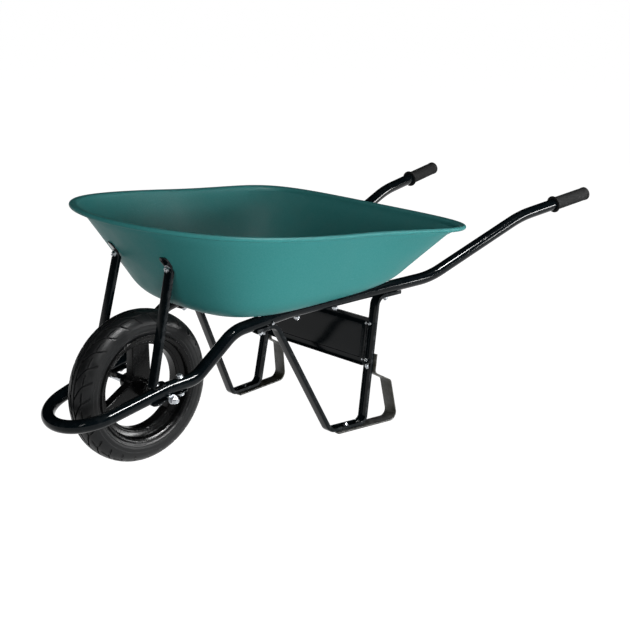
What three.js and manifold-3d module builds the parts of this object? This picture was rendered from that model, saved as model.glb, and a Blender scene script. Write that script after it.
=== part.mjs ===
// A single-wheel garden and builder's wheelbarrow: a pressed steel tray on one continuous bent-tube
// frame that passes round the front of a pneumatic wheel, two channel legs with flat skid bars, two
// channel struts to the front of the tray, and a pressed panel across the rear of the legs.
// Millimetres, +Z up. The wheel end points to -X, the handles to +X. "left" and "right" are the
// user's, who stands at the handles and faces the wheel, so left is -Y and right is +Y.
// Pieces are laid out from the axle, and the last lines move the whole barrow so that its origin is
// on the ground under the middle of its bounding box.
import * as THREE from "three";
import { ParametricGeometry } from "three/addons/geometries/ParametricGeometry.js";
import { mergeVertices } from "three/addons/utils/BufferGeometryUtils.js";
import Module from "manifold-3d";

const wasm = await Module();
wasm.setup();

// ---------------------------------------------------------------- driving dimensions
const GAP = 0.35; // between two pieces that touch

const WHEEL_R = 185; // tyre outer radius, so the axle height too
const TYRE_HALF_W = 40;
const AXLE_R = 6;
const AXLE_END_Y = 147;
const BUSH_BORE_R = 6.1; // 24 sides leave 0.05 mm of running clearance on the flats
const RIM_WELL_R = 106;
const RIM_SHEET = 3;
const HUB_R = 20;
const HUB_HALF = 48;
const SPOKES = 3;
const SPOKE_TURN = THREE.MathUtils.degToRad(90); // one spoke straight up
const SPOKE_W = 40;
const SPOKE_DEPTH = 30;
const SPOKE_SHEET = 2.5;

const TUBE_R = 15.875; // 1 1/4 inch tube
const TUBE_WALL = 1.5;
const RAIL_Y0 = 114; // half spacing of the rails above the axle
const RAIL_FLARE = 0.124; // the rails spread apart towards the handles
const BOW_CENTRE_X = -135; // centre of the bow round the front of the wheel
const BOW_RISE = 0.27; // the front of the frame drops towards the bow
// One rail from the bow to the handle end, as [x, z, bend radius].
const RAIL = [
  [BOW_CENTRE_X, 208 + BOW_CENTRE_X * BOW_RISE, 0],
  [0, 208, 150],
  [73, 217.6, 60],
  [180, 314.5, 90],
  [335, 338.3, 300],
  [798, 364.2, 250],
  [1132, 493.6, 350],
  [1394, 532.9, 0],
];

const TRAY = {
  sheet: 1.2,
  front: -93, // rim, outermost
  rear: 813,
  halfW: [363.2, -21.9, 93.9], // rim half width as a quadratic along the tray
  widthStep: 389.5,
  frontPower: 1.86, // 2 is an ellipse, larger is squarer
  rearPower: 4.2,
  rimZ: 563.5, // rim height at mid length
  rimDrop: 34.3, // fall of the rim from mid length to the rear
  lip: 20, // width of the outward rim
  lipTurn: 10, // depth of its turned-down edge
  floorFront: 117, // where the walls would meet the floor if the corner were sharp
  floorRear: 694,
  floorHalfW: 240,
  floorFlare: 0.063,
  floorFrontPower: 3.4,
  floorRearPower: 3.2,
  floorZ: 354.7, // underside of the floor where the rails level out
  floorSlope: 0.056,
  cornerIn: 0.24, // how much of the floor and of the wall the rounded corner takes
  cornerUp: 0.24,
};

const CHANNEL_W = 26; // legs and struts: pressed channel
const CHANNEL_DEPTH = 11;
const CHANNEL_SHEET = 2.5;
const SKID_W = 38; // flat bar under and behind each leg
const SKID_T = 4;
const LEG_SPLAY = 0.0567; // the legs lean outward to the ground
const LEG_Y = 132.6;

const STRAP = 3; // axle brackets and strut flaps
const STRUT_FOOT_X = -51; // front of the struts where they leave the rail
const PANEL_SHEET = 1.6;
const PANEL_RAISE = 4;
const BOLT_R = 3.9; // M8 shank
const BOLT_HOLE_R = 4.4;
const HEAD_FLATS = 13;
const HEAD_H = 5.3;
const NUT_H = 6.5;

const GRIP_LENGTH = 137;
const GRIP_R = 19;
const GRIP_FLANGE_R = 24;

const GROUND_SIDES = 40; // tyre and rim facets, with one vertex straight down
const ORIGIN_X = 577.15; // from the axle to the middle of the bounding box

// ---------------------------------------------------------------- materials
const paint = (color, roughness, metalness = 0.3) =>
  new THREE.MeshStandardMaterial({ color, roughness, metalness });
const materials = {
  tray: () => paint(0x3f8784, 0.38, 0.25),
  frame: () => paint(0x0b1013, 0.22, 0.4),
  skid: () => paint(0x1b1c14, 0.55, 0.2),
  zinc: () => paint(0xc3c8cb, 0.35, 0.9),
  rubber: () => paint(0x26282a, 0.8, 0),
  grip: () => paint(0x1f2022, 0.85, 0),
  rim: () => paint(0x0c0d0e, 0.4, 0.3),
  nylon: () => paint(0x202020, 0.6, 0),
};

// ---------------------------------------------------------------- helpers
const v3 = (x, y, z) => new THREE.Vector3(x, y, z);

/** The geometry with only positions, shared vertices merged, slivers dropped and faces outward. */
function closed(geometry) {
  const bare = geometry.index ? geometry.toNonIndexed() : geometry.clone();
  bare.deleteAttribute("normal");
  bare.deleteAttribute("uv");
  const merged = mergeVertices(bare, 1e-3);
  const { array } = merged.index;
  const kept = [];
  for (let i = 0; i < array.length; i += 3) {
    const [a, b, c] = [array[i], array[i + 1], array[i + 2]];
    if (a !== b && b !== c && c !== a) kept.push(a, b, c);
  }
  merged.setIndex(kept);
  if (signedVolume(merged) < 0) flip(merged);
  return merged;
}

function signedVolume(geometry) {
  const p = geometry.getAttribute("position");
  const corner = [v3(), v3(), v3()];
  let sum = 0;
  for (let i = 0; i < geometry.index.count; i += 3) {
    corner.forEach((c, k) => c.fromBufferAttribute(p, geometry.index.getX(i + k)));
    sum += corner[0].dot(corner[1].clone().cross(corner[2]));
  }
  return sum / 6;
}

function flip(geometry) {
  const { array } = geometry.index;
  for (let i = 0; i < array.length; i += 3) [array[i], array[i + 1]] = [array[i + 1], array[i]];
}

function toSolid(geometry) {
  const g = closed(geometry);
  return new wasm.Manifold(
    new wasm.Mesh({
      numProp: 3,
      vertProperties: new Float32Array(g.getAttribute("position").array),
      triVerts: new Uint32Array(g.index.array),
    }),
  );
}

function toGeometry(solid) {
  const mesh = solid.getMesh();
  const count = mesh.numVert;
  const positions = new Float32Array(count * 3);
  for (let i = 0; i < count; i++)
    positions.set(mesh.vertProperties.subarray(i * mesh.numProp, i * mesh.numProp + 3), i * 3);
  return new THREE.BufferGeometry()
    .setAttribute("position", new THREE.BufferAttribute(positions, 3))
    .setIndex(new THREE.BufferAttribute(new Uint32Array(mesh.triVerts), 1));
}

const join = (...geometries) => toGeometry(geometries.map(toSolid).reduce((a, b) => a.add(b)));
const cut = (geometry, ...cutters) =>
  toGeometry(cutters.map(toSolid).reduce((a, b) => a.subtract(b), toSolid(geometry)));

/** A cylinder or hexagon from one point to another. */
function rod(from, to, radius, sides = 12) {
  const along = to.clone().sub(from);
  const g = new THREE.CylinderGeometry(radius, radius, along.length(), sides);
  return place(g, from.clone().add(to).multiplyScalar(0.5), along);
}

/** Turns the geometry's +Y to a direction and moves its origin to a point. */
function place(geometry, at, direction) {
  const turn = new THREE.Quaternion().setFromUnitVectors(v3(0, 1, 0), direction.clone().normalize());
  return geometry.applyQuaternion(turn).translate(at.x, at.y, at.z);
}

/** A closed profile of [radius, axial] points turned about +Y. */
const turned = (profile, sides) =>
  new THREE.LatheGeometry(profile.map(([r, y]) => new THREE.Vector2(r, y)), sides);

/**
 * A curve through given stations, so that a swept section has one ring at each of them. The
 * section's first axis stays on one side of the path, as near to the given direction as it can.
 */
class StationPath extends THREE.Curve {
  constructor(stations, side) {
    super();
    this.stations = stations;
    this.side = side;
  }
  getPoint(t, target = v3()) {
    const last = this.stations.length - 1;
    const i = Math.min(last - 1, Math.floor(t * last + 1e-9));
    return target.lerpVectors(this.stations[i], this.stations[i + 1], t * last - i);
  }
  getPointAt(u, target) {
    return this.getPoint(u, target);
  }
  getTangentAt(u, target = v3()) {
    const last = this.stations.length - 1;
    const i = Math.round(u * last);
    const after = this.stations[Math.min(last, i + 1)].clone().sub(this.stations[i]).normalize();
    const before = this.stations[i].clone().sub(this.stations[Math.max(0, i - 1)]).normalize();
    return target.copy(after).add(before).normalize();
  }
  computeFrenetFrames(segments) {
    const tangents = Array.from({ length: segments + 1 }, (_, i) => this.getTangentAt(i / segments));
    const binormals = tangents.map((t) => t.clone().cross(this.side).normalize());
    const normals = tangents.map((t, i) => binormals[i].clone().cross(t));
    return { tangents, normals, binormals };
  }
}

/** Corner points with a bend radius each, turned into stations along straights and arcs. */
function bend(corners, stepDegrees = 12) {
  const stations = [corners[0].at];
  for (let i = 1; i < corners.length - 1; i++) {
    const { at, radius } = corners[i];
    const back = corners[i - 1].at.clone().sub(at).normalize();
    const ahead = corners[i + 1].at.clone().sub(at).normalize();
    const turn = Math.PI - back.angleTo(ahead);
    const reach = radius * Math.tan(turn / 2);
    const middle = back.clone().add(ahead).normalize();
    const centre = at.clone().addScaledVector(middle, Math.hypot(radius, reach));
    const axis = back.clone().cross(ahead).normalize();
    const start = at.clone().addScaledVector(back, reach).sub(centre);
    const steps = Math.max(1, Math.round(THREE.MathUtils.radToDeg(turn) / stepDegrees));
    for (let k = 0; k <= steps; k++)
      stations.push(start.clone().applyAxisAngle(axis, (-turn * k) / steps).add(centre));
  }
  stations.push(corners.at(-1).at);
  return stations;
}

const SIDE = v3(0, 1, 0);
const UP = v3(0, 0, 1);
const DOWN = v3(0, 0, -1);

/** Sweeps a closed section (an array of Vector2) along stations. */
function sweep(section, stations, side, hole) {
  const shape = new THREE.Shape(section);
  if (hole) shape.holes.push(new THREE.Path(hole));
  return new THREE.ExtrudeGeometry(shape, {
    steps: stations.length - 1,
    extrudePath: new StationPath(stations, side),
    curveSegments: 1,
  });
}

const circle = (radius, sides) =>
  Array.from({ length: sides }, (_, i) => {
    const a = (2 * Math.PI * i) / sides;
    return new THREE.Vector2(radius * Math.cos(a), radius * Math.sin(a));
  });

const barrow = new THREE.Group();

function add(name, geometry, material) {
  const mesh = new THREE.Mesh(closed(geometry), material());
  mesh.name = name;
  barrow.add(mesh);
  return mesh;
}

/** The same piece on both sides: made on the right (+Y), and mirrored for the left. */
function addPair(name, geometry, material) {
  add(`${name}_right`, geometry, material);
  add(`${name}_left`, geometry.clone().scale(1, -1, 1), material);
}

// ---------------------------------------------------------------- the rail line
const railY = (x) => RAIL_Y0 + RAIL_FLARE * x;

/** Height of the rail's centre line at x, with its bends left sharp. */
function railZ(x) {
  const i = RAIL.findIndex(([px]) => px > x);
  const [a, b] = [RAIL[i - 1], RAIL[i]];
  return a[1] + ((x - a[0]) / (b[0] - a[0])) * (b[1] - a[1]);
}

/** Away from a rail's centre line at x, upwards and square to it in side view. */
function railUp(x) {
  const step = 1;
  return v3(railZ(x - step) - railZ(x + step), 0, 2 * step).normalize();
}

/** A point at x on a rail, moved square to it by the given distance. */
const onRail = (x, up = 0) => v3(x, railY(x), railZ(x)).addScaledVector(railUp(x), up);

function railStations() {
  const corners = RAIL.map(([x, z, radius]) => ({ at: v3(x, railY(x), z), radius }));
  return bend(corners, 9);
}

/** The bow: an arc in plan that meets both rails tangentially, in the plane of the front slope. */
function bowStations() {
  const lean = Math.atan(RAIL_FLARE);
  const radius = railY(BOW_CENTRE_X) * Math.cos(lean);
  const from = Math.PI / 2 - lean;
  const steps = 14;
  return Array.from({ length: steps - 1 }, (_, i) => {
    const a = from - ((i + 1) / steps) * 2 * from;
    const x = BOW_CENTRE_X - radius * Math.cos(a);
    return v3(x, radius * Math.sin(a), 208 + x * BOW_RISE);
  });
}

const HANDLE_END = railStations().at(-1);
const HANDLE_DIR = HANDLE_END.clone().sub(railStations().at(-2)).normalize();

// ---------------------------------------------------------------- the tray surface
const trayMid = (TRAY.front + TRAY.rear) / 2;
const trayHalf = (TRAY.rear - TRAY.front) / 2;
const floorMid = (TRAY.floorFront + TRAY.floorRear) / 2;
const floorHalf = (TRAY.floorRear - TRAY.floorFront) / 2;

/** A rounded outline: a superellipse with its own power at the front and at the rear. */
function outline(angle, frontPower, rearPower) {
  const c = Math.cos(angle);
  const s = Math.sin(angle);
  const power = c < 0 ? frontPower : rearPower;
  const reach = (Math.abs(c) ** power + Math.abs(s) ** power) ** (-1 / power);
  return [reach * c, reach * s];
}

/** A point of the rim line, moved inward by inset and down by drop. */
function rimPoint(angle, inset, drop) {
  const [u, v] = outline(angle, TRAY.frontPower, TRAY.rearPower);
  const x = trayMid + trayHalf * u;
  const step = (x - trayMid) / TRAY.widthStep;
  const [w0, w1, w2] = TRAY.halfW;
  const half = w0 + w1 * step + w2 * step * step;
  const z = TRAY.rimZ - TRAY.rimDrop * u - drop;
  return v3(trayMid + (trayHalf - inset) * u, (half - inset) * v, z);
}

function floorPoint(angle, share) {
  const [u, v] = outline(angle, TRAY.floorFrontPower, TRAY.floorRearPower);
  const x = floorMid + floorHalf * u * share;
  const half = TRAY.floorHalfW + TRAY.floorFlare * floorHalf * u;
  return v3(x, half * v * share, TRAY.floorZ + TRAY.floorSlope * (x - RAIL[4][0]));
}

/** The underside of the tray sheet from the middle of the floor (0) to the top of the wall (1). */
function trayOutside(angle, t) {
  const corner = floorPoint(angle, 1);
  const top = rimPoint(angle, TRAY.lip, 5);
  const from = floorPoint(angle, 1 - TRAY.cornerIn);
  const to = corner.clone().lerp(top, TRAY.cornerUp);
  if (t < 0.3) return floorPoint(angle, ((1 - TRAY.cornerIn) * t) / 0.3);
  if (t > 0.7) return to.lerp(top, (t - 0.7) / 0.3);
  const s = (t - 0.3) / 0.4;
  const first = from.lerp(corner, s);
  return first.lerp(corner.lerp(to, s), s);
}

/** Where the outside of the front wall is, at height z and half width y. */
function frontWall(y, z) {
  let best = v3();
  for (let a = Math.PI / 2; a <= Math.PI; a += 0.004)
    for (let t = 0.7; t <= 1; t += 0.01) {
      const p = trayOutside(a, t);
      if (Math.hypot(p.y - y, p.z - z) < Math.hypot(best.y - y, best.z - z)) best = p;
    }
  return best;
}

const TRAY_BOLT_X = [362, 480]; // tray and rails
const STRUT_BOLT = { y: 99, z: 490 };
const STRUT_TOP = frontWall(STRUT_BOLT.y, STRUT_BOLT.z);
const WALL_DIR = frontWall(STRUT_BOLT.y, 530).sub(frontWall(STRUT_BOLT.y, 450)).setY(0).normalize();
const wallAcross = frontWall(STRUT_BOLT.y + 15, STRUT_BOLT.z).sub(frontWall(STRUT_BOLT.y - 15, STRUT_BOLT.z));
const WALL_OUT = WALL_DIR.clone().cross(wallAcross).normalize(); // out of the tray's front
const WALL_SIDE = WALL_OUT.clone().cross(WALL_DIR).negate();
const FLAP_OFF = 1; // the wall is curved, and the flat flap touches it at its middle only

/** A point on the strut's top bolt, so far out of the tray's front wall. */
const onStrutBolt = (out) =>
  v3(STRUT_TOP.x, STRUT_BOLT.y, STRUT_TOP.z).addScaledVector(WALL_OUT, out);

function makeTray() {
  const around = 44;
  const t = TRAY.sheet;
  // The underside of the sheet: along the floor, up the wall, out over the rim and down its edge.
  const wall = [0, 0.3, 0.4, 0.5, 0.6, 0.7, 0.85, 1];
  const rim = [
    [TRAY.lip - 5, t + 1],
    [TRAY.lip / 2, t],
    [t + 2, t + 2],
    [t, t + 5],
    [t, TRAY.lipTurn],
  ];
  const outside = [
    ...wall.map((t) => (a) => trayOutside(a, t)),
    ...rim.map(([inset, drop]) => (a) => rimPoint(a, inset, drop)),
  ];
  const normalStep = 0.01;
  const inside = outside.map((ring, k) => (a) => {
    const p = ring(a);
    if (k === 0) return p.setZ(p.z + TRAY.sheet);
    const along = ring(a + normalStep).sub(ring(a - normalStep));
    const before = outside[k - 1](a);
    const after = outside[Math.min(k + 1, outside.length - 1)](a);
    const normal = after.sub(before).cross(along).normalize();
    return p.addScaledVector(normal, TRAY.sheet);
  });
  const rings = [...inside, ...outside.toReversed()];
  const point = (u, v, target) => {
    const ring = rings[Math.round(v * (rings.length - 1))];
    target.copy(ring(2 * Math.PI * (Math.round(u * around) % around) / around));
  };
  const shell = new ParametricGeometry(point, around, rings.length - 1);
  const holes = TRAY_BOLT_X.map((x) => railHole(x, 0, 60));
  holes.push(rod(onStrutBolt(20), onStrutBolt(-20), BOLT_HOLE_R, 8));
  return cut(shell, ...holes, ...holes.map(mirrored));
}

// ---------------------------------------------------------------- fasteners
const HEX_R = HEAD_FLATS / Math.sqrt(3);

/** A hexagon-head bolt: under-head point, direction of the shank, and its length. */
function bolt(at, direction, length) {
  const dir = direction.clone().normalize();
  const head = rod(at, at.clone().addScaledVector(dir, -HEAD_H), HEX_R, 6);
  const shank = rod(at.clone().addScaledVector(dir, -1), at.clone().addScaledVector(dir, length), BOLT_R, 8);
  return join(head, shank);
}

/** A nut round a shank of the given radius, from its seat along a direction. */
function nut(at, direction, height = NUT_H, flats = HEAD_FLATS, bore = BOLT_HOLE_R) {
  const dir = direction.clone().normalize();
  const body = rod(at, at.clone().addScaledVector(dir, height), flats / Math.sqrt(3), 6);
  const far = at.clone().addScaledVector(dir, height + 1);
  return cut(body, rod(at.clone().addScaledVector(dir, -1), far, bore, 12));
}

/** A bolt with its nut tightened on it, as one piece. */
function boltWithNut(at, direction, grip) {
  const dir = direction.clone().normalize();
  const seat = at.clone().addScaledVector(dir, grip);
  const fixed = rod(seat, seat.clone().addScaledVector(dir, NUT_H), HEX_R, 6);
  return join(bolt(at, dir, grip + NUT_H + 3), fixed);
}

// ---------------------------------------------------------------- frame
const BRACKET_BOLT_X = [-29, 32];
const LEG_BOLT_X = [251, 645];
const SCREW_X = 278;
const SCREW_TURN = THREE.MathUtils.degToRad(25);
const SCREW_OUT = v3(0, Math.cos(SCREW_TURN), -Math.sin(SCREW_TURN));
const onScrew = (out) => v3(SCREW_X, railY(SCREW_X), railZ(SCREW_X)).addScaledVector(SCREW_OUT, out);

const railHole = (x, low = -40, high = 40) => rod(onRail(x, low), onRail(x, high), BOLT_HOLE_R, 8);
const mirrored = (geometry) => geometry.clone().scale(1, -1, 1);

function makeFrameTube() {
  const right = railStations();
  const left = right.map((p) => p.clone().setY(-p.y));
  const stations = [...right.toReversed(), ...bowStations(), ...left];
  const tube = sweep(circle(TUBE_R, 12), stations, UP, circle(TUBE_R - TUBE_WALL, 12));
  const xs = [...BRACKET_BOLT_X, ...LEG_BOLT_X, ...TRAY_BOLT_X];
  const holes = [...xs.map((x) => railHole(x)), rod(onScrew(0), onScrew(30), 2.9, 8)];
  return cut(tube, ...holes, ...holes.map(mirrored));
}

/** A handle grip: a sleeve with a guard ring at its inner end and a domed outer end. */
function makeGrip() {
  const bore = TUBE_R + GAP;
  const end = GRIP_LENGTH;
  const profile = [
    [bore, 0],
    [GRIP_FLANGE_R, 0],
    [GRIP_FLANGE_R, 4],
    [GRIP_R, 7],
    [GRIP_R, end - 6],
    [GRIP_R - 2, end - 1],
    [GRIP_R - 7, end + 2],
    [0, end + 3],
    [0, end - 3],
    [bore, end - 3],
    [bore, 0],
  ];
  const start = HANDLE_END.clone().addScaledVector(HANDLE_DIR, 3.5 - end);
  return place(turned(profile, 16), start, HANDLE_DIR);
}

/** The strap under each rail that cradles the axle, with a flange either side for its bolts. */
function makeAxleBracket() {
  const sheet = STRAP;
  const width = 30;
  const inner = AXLE_R + GAP;
  const under = (x) => railZ(x) - (TUBE_R + GAP) * 1.045;
  const outer = inner + sheet;
  const shape = new THREE.Shape();
  shape.moveTo(-46, under(-46));
  shape.lineTo(-inner, under(-inner));
  shape.lineTo(-inner, WHEEL_R);
  shape.absarc(0, WHEEL_R, inner, Math.PI, 0, false);
  shape.lineTo(inner, under(inner));
  shape.lineTo(50, under(50));
  shape.lineTo(50, under(50) - sheet);
  shape.lineTo(outer + 3, under(outer + 3) - sheet);
  shape.lineTo(outer, WHEEL_R);
  shape.absarc(0, WHEEL_R, outer, 0, Math.PI, true);
  shape.lineTo(-outer - 3, under(-outer - 3) - sheet);
  shape.lineTo(-46, under(-46) - sheet);
  shape.closePath();
  const strap = new THREE.ExtrudeGeometry(shape, { depth: width, bevelEnabled: false, curveSegments: 8 });
  strap.rotateX(Math.PI / 2); // the drawing plane becomes X-Z, and the width runs along -Y
  strap.translate(0, RAIL_Y0 + width / 2, 0);
  const holes = BRACKET_BOLT_X.map((x) => railHole(x, -40, 0));
  return cut(strap, ...holes);
}

// ---------------------------------------------------------------- legs, skids and struts
/** Channel section: web outward (towards the first axis), flanges the other way. */
function channelSection() {
  const w = CHANNEL_W / 2;
  const t = CHANNEL_SHEET;
  const d = CHANNEL_DEPTH;
  const corners = [
    [-w, 0],
    [w, 0],
    [w, d],
    [w - t, d],
    [w - t, t],
    [t - w, t],
    [t - w, d],
    [-w, d],
  ];
  return corners.map(([x, y]) => new THREE.Vector2(x, y));
}

const flat = (width, thick) =>
  [
    [-width / 2, 0],
    [width / 2, 0],
    [width / 2, thick],
    [-width / 2, thick],
  ].map(([x, y]) => new THREE.Vector2(x, y));

/** Moves a piece drawn in the X-Z plane out to the side, leaning with the given slopes. */
function lean(geometry, y0, perX, perZ) {
  const shear = new THREE.Matrix4().set(1, 0, 0, 0, perX, 1, perZ, y0, 0, 0, 1, 0, 0, 0, 0, 1);
  return geometry.applyMatrix4(shear);
}

const inPlane = (corners, step) =>
  bend(corners.map(([x, z, radius]) => ({ at: v3(x, 0, z), radius })), step);

/**
 * Height of the outer face of a leg's channel under the rail at x. The tube sits a little way
 * between the flanges, on their tips.
 */
const LEG_SEAT = TUBE_R + 7.5;
const legTop = (x) => railZ(x) - LEG_SEAT * 1.012;
const FOOT_Z = SKID_T + GAP;
const LEG_FRONT_X = 451; // where the front and rear of the leg would meet the foot with sharp bends
const LEG_REAR_X = 571;
const UPRIGHT_LEAN = 0.146; // the rear upright leans back as it rises
const uprightX = (z) => LEG_REAR_X + UPRIGHT_LEAN * (z - FOOT_Z);
const legY = (x, z) => LEG_Y + RAIL_FLARE * x - LEG_SPLAY * z;
const FOOT_BOLT_X = 511;
const SKID_BOLT_Z = 156;
const PANEL_BOLT_Z = [170, 264];

const footHole = () => {
  const y = legY(FOOT_BOLT_X, 0);
  return rod(v3(FOOT_BOLT_X, y, -5), v3(FOOT_BOLT_X, y, 30), BOLT_HOLE_R, 8);
};
const skidHole = () => {
  const at = v3(uprightX(SKID_BOLT_Z), legY(uprightX(SKID_BOLT_Z), SKID_BOLT_Z), SKID_BOLT_Z);
  return rod(at.clone().setX(at.x - 20), at.clone().setX(at.x + 20), BOLT_HOLE_R, 8);
};

/** A panel bolt's place on the inner flange of the rear upright, halfway across the flange. */
function panelBoltAt(z) {
  const x = uprightX(z) - 7.8;
  return v3(x, legY(x, z) - CHANNEL_W / 2, z);
}
const panelHole = (z) => {
  const at = panelBoltAt(z);
  return rod(at.clone().setY(at.y - 8), at.clone().setY(at.y + 8), 2.7, 8);
};

function makeLeg() {
  const path = inPlane(
    [
      [240, legTop(240), 0],
      [291, legTop(291), 22],
      [LEG_FRONT_X, FOOT_Z, 30],
      [LEG_REAR_X, FOOT_Z, 26],
      [uprightX(334), legTop(uprightX(334)), 20],
      [688, legTop(688), 0],
    ],
    14,
  );
  const leg = lean(sweep(channelSection(), path, SIDE), LEG_Y, RAIL_FLARE, -LEG_SPLAY);
  const holes = LEG_BOLT_X.map((x) => railHole(x, -60, 0));
  return cut(leg, ...holes, footHole(), skidHole(), ...PANEL_BOLT_Z.map(panelHole));
}

/** The flat bar that the leg stands on: back along the ground, up, forward and up the upright. */
function makeSkid() {
  const behind = (z) => uprightX(z) + (SKID_T + GAP) * 1.011;
  const path = inPlane(
    [
      [476, 0, 0],
      [670, 0, 22],
      [648.5, 112, 14],
      [behind(141), 141, 12],
      [behind(187), 187, 0],
    ],
    15,
  );
  const bar = lean(sweep(flat(SKID_W, SKID_T), path, SIDE), LEG_Y, RAIL_FLARE, -LEG_SPLAY);
  return cut(bar, footHole(), skidHole());
}

/** The channel from the rail to the tray's front wall, with a flat flap at each end. */
function makeStrut() {
  const webX = (z) => STRUT_FOOT_X + 0.23 * (z - 210);
  const seat = railZ(-30) + (TUBE_R + GAP) * 1.036;
  const bottom = seat - 4.2;
  const top = 478;
  const perZ = (STRUT_BOLT.y - railY(-30)) / (STRUT_BOLT.z - seat);
  const web = inPlane([[webX(top), top, 0], [webX(bottom), bottom, 0]], 90);
  const bar = lean(sweep(channelSection(), web, SIDE), railY(-30) - perZ * seat, 0, perZ);
  // Bottom flap: flat on the rail, from the web back past the bolt.
  const slope = Math.atan(BOW_RISE);
  const foot = new THREE.BoxGeometry(42, CHANNEL_W, STRAP);
  foot.rotateY(-slope).rotateZ(Math.atan(RAIL_FLARE));
  foot.translate(-31, railY(-31), railZ(-31) + (TUBE_R + GAP + STRAP / 2) / Math.cos(slope) + 0.2);
  // Top flap: flat on the tray's front wall, from below the bolt to above it.
  const onWall = (thick, wide, tall, out) => {
    const mid = onStrutBolt(out).addScaledVector(WALL_DIR, 6);
    const turn = new THREE.Matrix4().makeBasis(WALL_OUT, WALL_SIDE, WALL_DIR).setPosition(mid);
    return new THREE.BoxGeometry(thick, wide, tall).applyMatrix4(turn);
  };
  const flap = onWall(STRAP, CHANNEL_W, 54, FLAP_OFF + STRAP / 2);
  const behindWall = onWall(30, 60, 90, FLAP_OFF - 15);
  const holes = [rod(onStrutBolt(20), onStrutBolt(-5), BOLT_HOLE_R, 8), railHole(BRACKET_BOLT_X[0])];
  return cut(join(bar, foot, flap), ...holes, behindWall);
}

// ---------------------------------------------------------------- panel across the legs
/** A pressed plate with a folded edge all round; its ends are bolted inside the two uprights. */
function makePanel() {
  const [bottom, top] = [154, 279];
  const at = (z) => v3(uprightX(z) - CHANNEL_DEPTH, 0, z);
  const slope = Math.atan(UPRIGHT_LEAN);
  const height = at(bottom).distanceTo(at(top));
  const halfWidth = (z) => legY(uprightX(z) - CHANNEL_DEPTH, z) - CHANNEL_W / 2 - 2 * GAP;
  const flank = (inset, h) => halfWidth(bottom + h * Math.cos(slope)) - inset;
  const plate = (inset, h0, h1, depth) => {
    const corners = [
      [-flank(inset, h0), h0],
      [flank(inset, h0), h0],
      [flank(inset, h1), h1],
      [-flank(inset, h1), h1],
    ];
    const shape = new THREE.Shape(corners.map(([y, h]) => new THREE.Vector2(y, h)));
    return new THREE.ExtrudeGeometry(shape, { depth, bevelEnabled: false });
  };
  const t = PANEL_SHEET;
  const tray = cut(
    plate(0, 0, height, CHANNEL_DEPTH),
    plate(t, t, height - t, CHANNEL_DEPTH).translate(0, 0, -t),
  );
  // The field stands forward of the border by one pressing depth.
  const field = plate(17, 15, height - 15, t / 2 + PANEL_RAISE);
  field.translate(0, 0, CHANNEL_DEPTH - t - PANEL_RAISE);
  const inside = plate(17 + t, 15 + t, height - 15 - t, PANEL_RAISE + t);
  inside.translate(0, 0, CHANNEL_DEPTH - PANEL_RAISE);
  const raised = cut(join(tray, field), inside);
  const basis = new THREE.Matrix4().makeBasis(SIDE, UP, v3(1, 0, 0));
  raised.applyMatrix4(basis).rotateY(slope).translate(at(bottom).x, 0, bottom);
  const holes = PANEL_BOLT_Z.map(panelHole);
  return cut(raised, ...holes, ...holes.map(mirrored));
}

/** A small hexagon-head bolt through the panel's end flange and the upright, with its nut. */
function makePanelBolt(z) {
  const flats = 8 / Math.sqrt(3);
  const height = 4;
  const from = panelBoltAt(z).add(v3(0, -5 * GAP - PANEL_SHEET, 0));
  const to = panelBoltAt(z).add(v3(0, CHANNEL_SHEET + 3 * GAP, 0));
  const along = (p, d) => p.clone().setY(p.y + d);
  return join(
    rod(along(from, -height), from, flats, 6),
    rod(along(from, -height - 3), along(to, 1), 2.4, 8),
    rod(to, along(to, height), flats, 6),
  );
}

// ---------------------------------------------------------------- wheel
const atAxle = (geometry) => geometry.translate(0, 0, WHEEL_R);

/** Mirrors a half profile of [radius, axial] points about the middle plane of the wheel. */
const bothSides = (half) => [...half.toReversed().map(([r, y]) => [r, -y]), ...half.slice(1)];

/** A closed ring profile, mirrored from the half that runs from the outside round to the inside. */
function closedRing(half) {
  const other = half.slice(1, -1).toReversed().map(([r, y]) => [r, -y]);
  return [...half, ...other, half[0]];
}

// The valve points at the axle between two spokes.
const VALVE_TURN = SPOKE_TURN + Math.PI / SPOKES;
const VALVE_DIR = v3(Math.cos(VALVE_TURN), 0, Math.sin(VALVE_TURN));
const onValve = (radius) => v3(0, 0, WHEEL_R).addScaledVector(VALVE_DIR, radius);

function makeTyre() {
  const spline = (points, count) =>
    new THREE.SplineCurve(points.map(([r, y]) => new THREE.Vector2(r, y)))
      .getPoints(count)
      .map((p) => [p.x, p.y]);
  const w = TYRE_HALF_W;
  const outside = spline(
    [
      [WHEEL_R, 0],
      [WHEEL_R - 1.5, w * 0.45],
      [WHEEL_R - 8, w * 0.78],
      [WHEEL_R - 21, w * 0.97],
      [WHEEL_R - 35, w],
      [WHEEL_R - 49, w * 0.9],
      [126, 31],
    ],
    8,
  );
  const inside = spline(
    [
      [WHEEL_R - 9, 0],
      [WHEEL_R - 16, w * 0.62],
      [WHEEL_R - 35, w * 0.84],
      [WHEEL_R - 49, w * 0.74],
      [126, 24],
    ],
    5,
  );
  const profile = [...bothSides(outside), ...bothSides(inside).toReversed()];
  profile.push(profile[0]);
  return atAxle(turned(profile, GROUND_SIDES));
}

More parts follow.
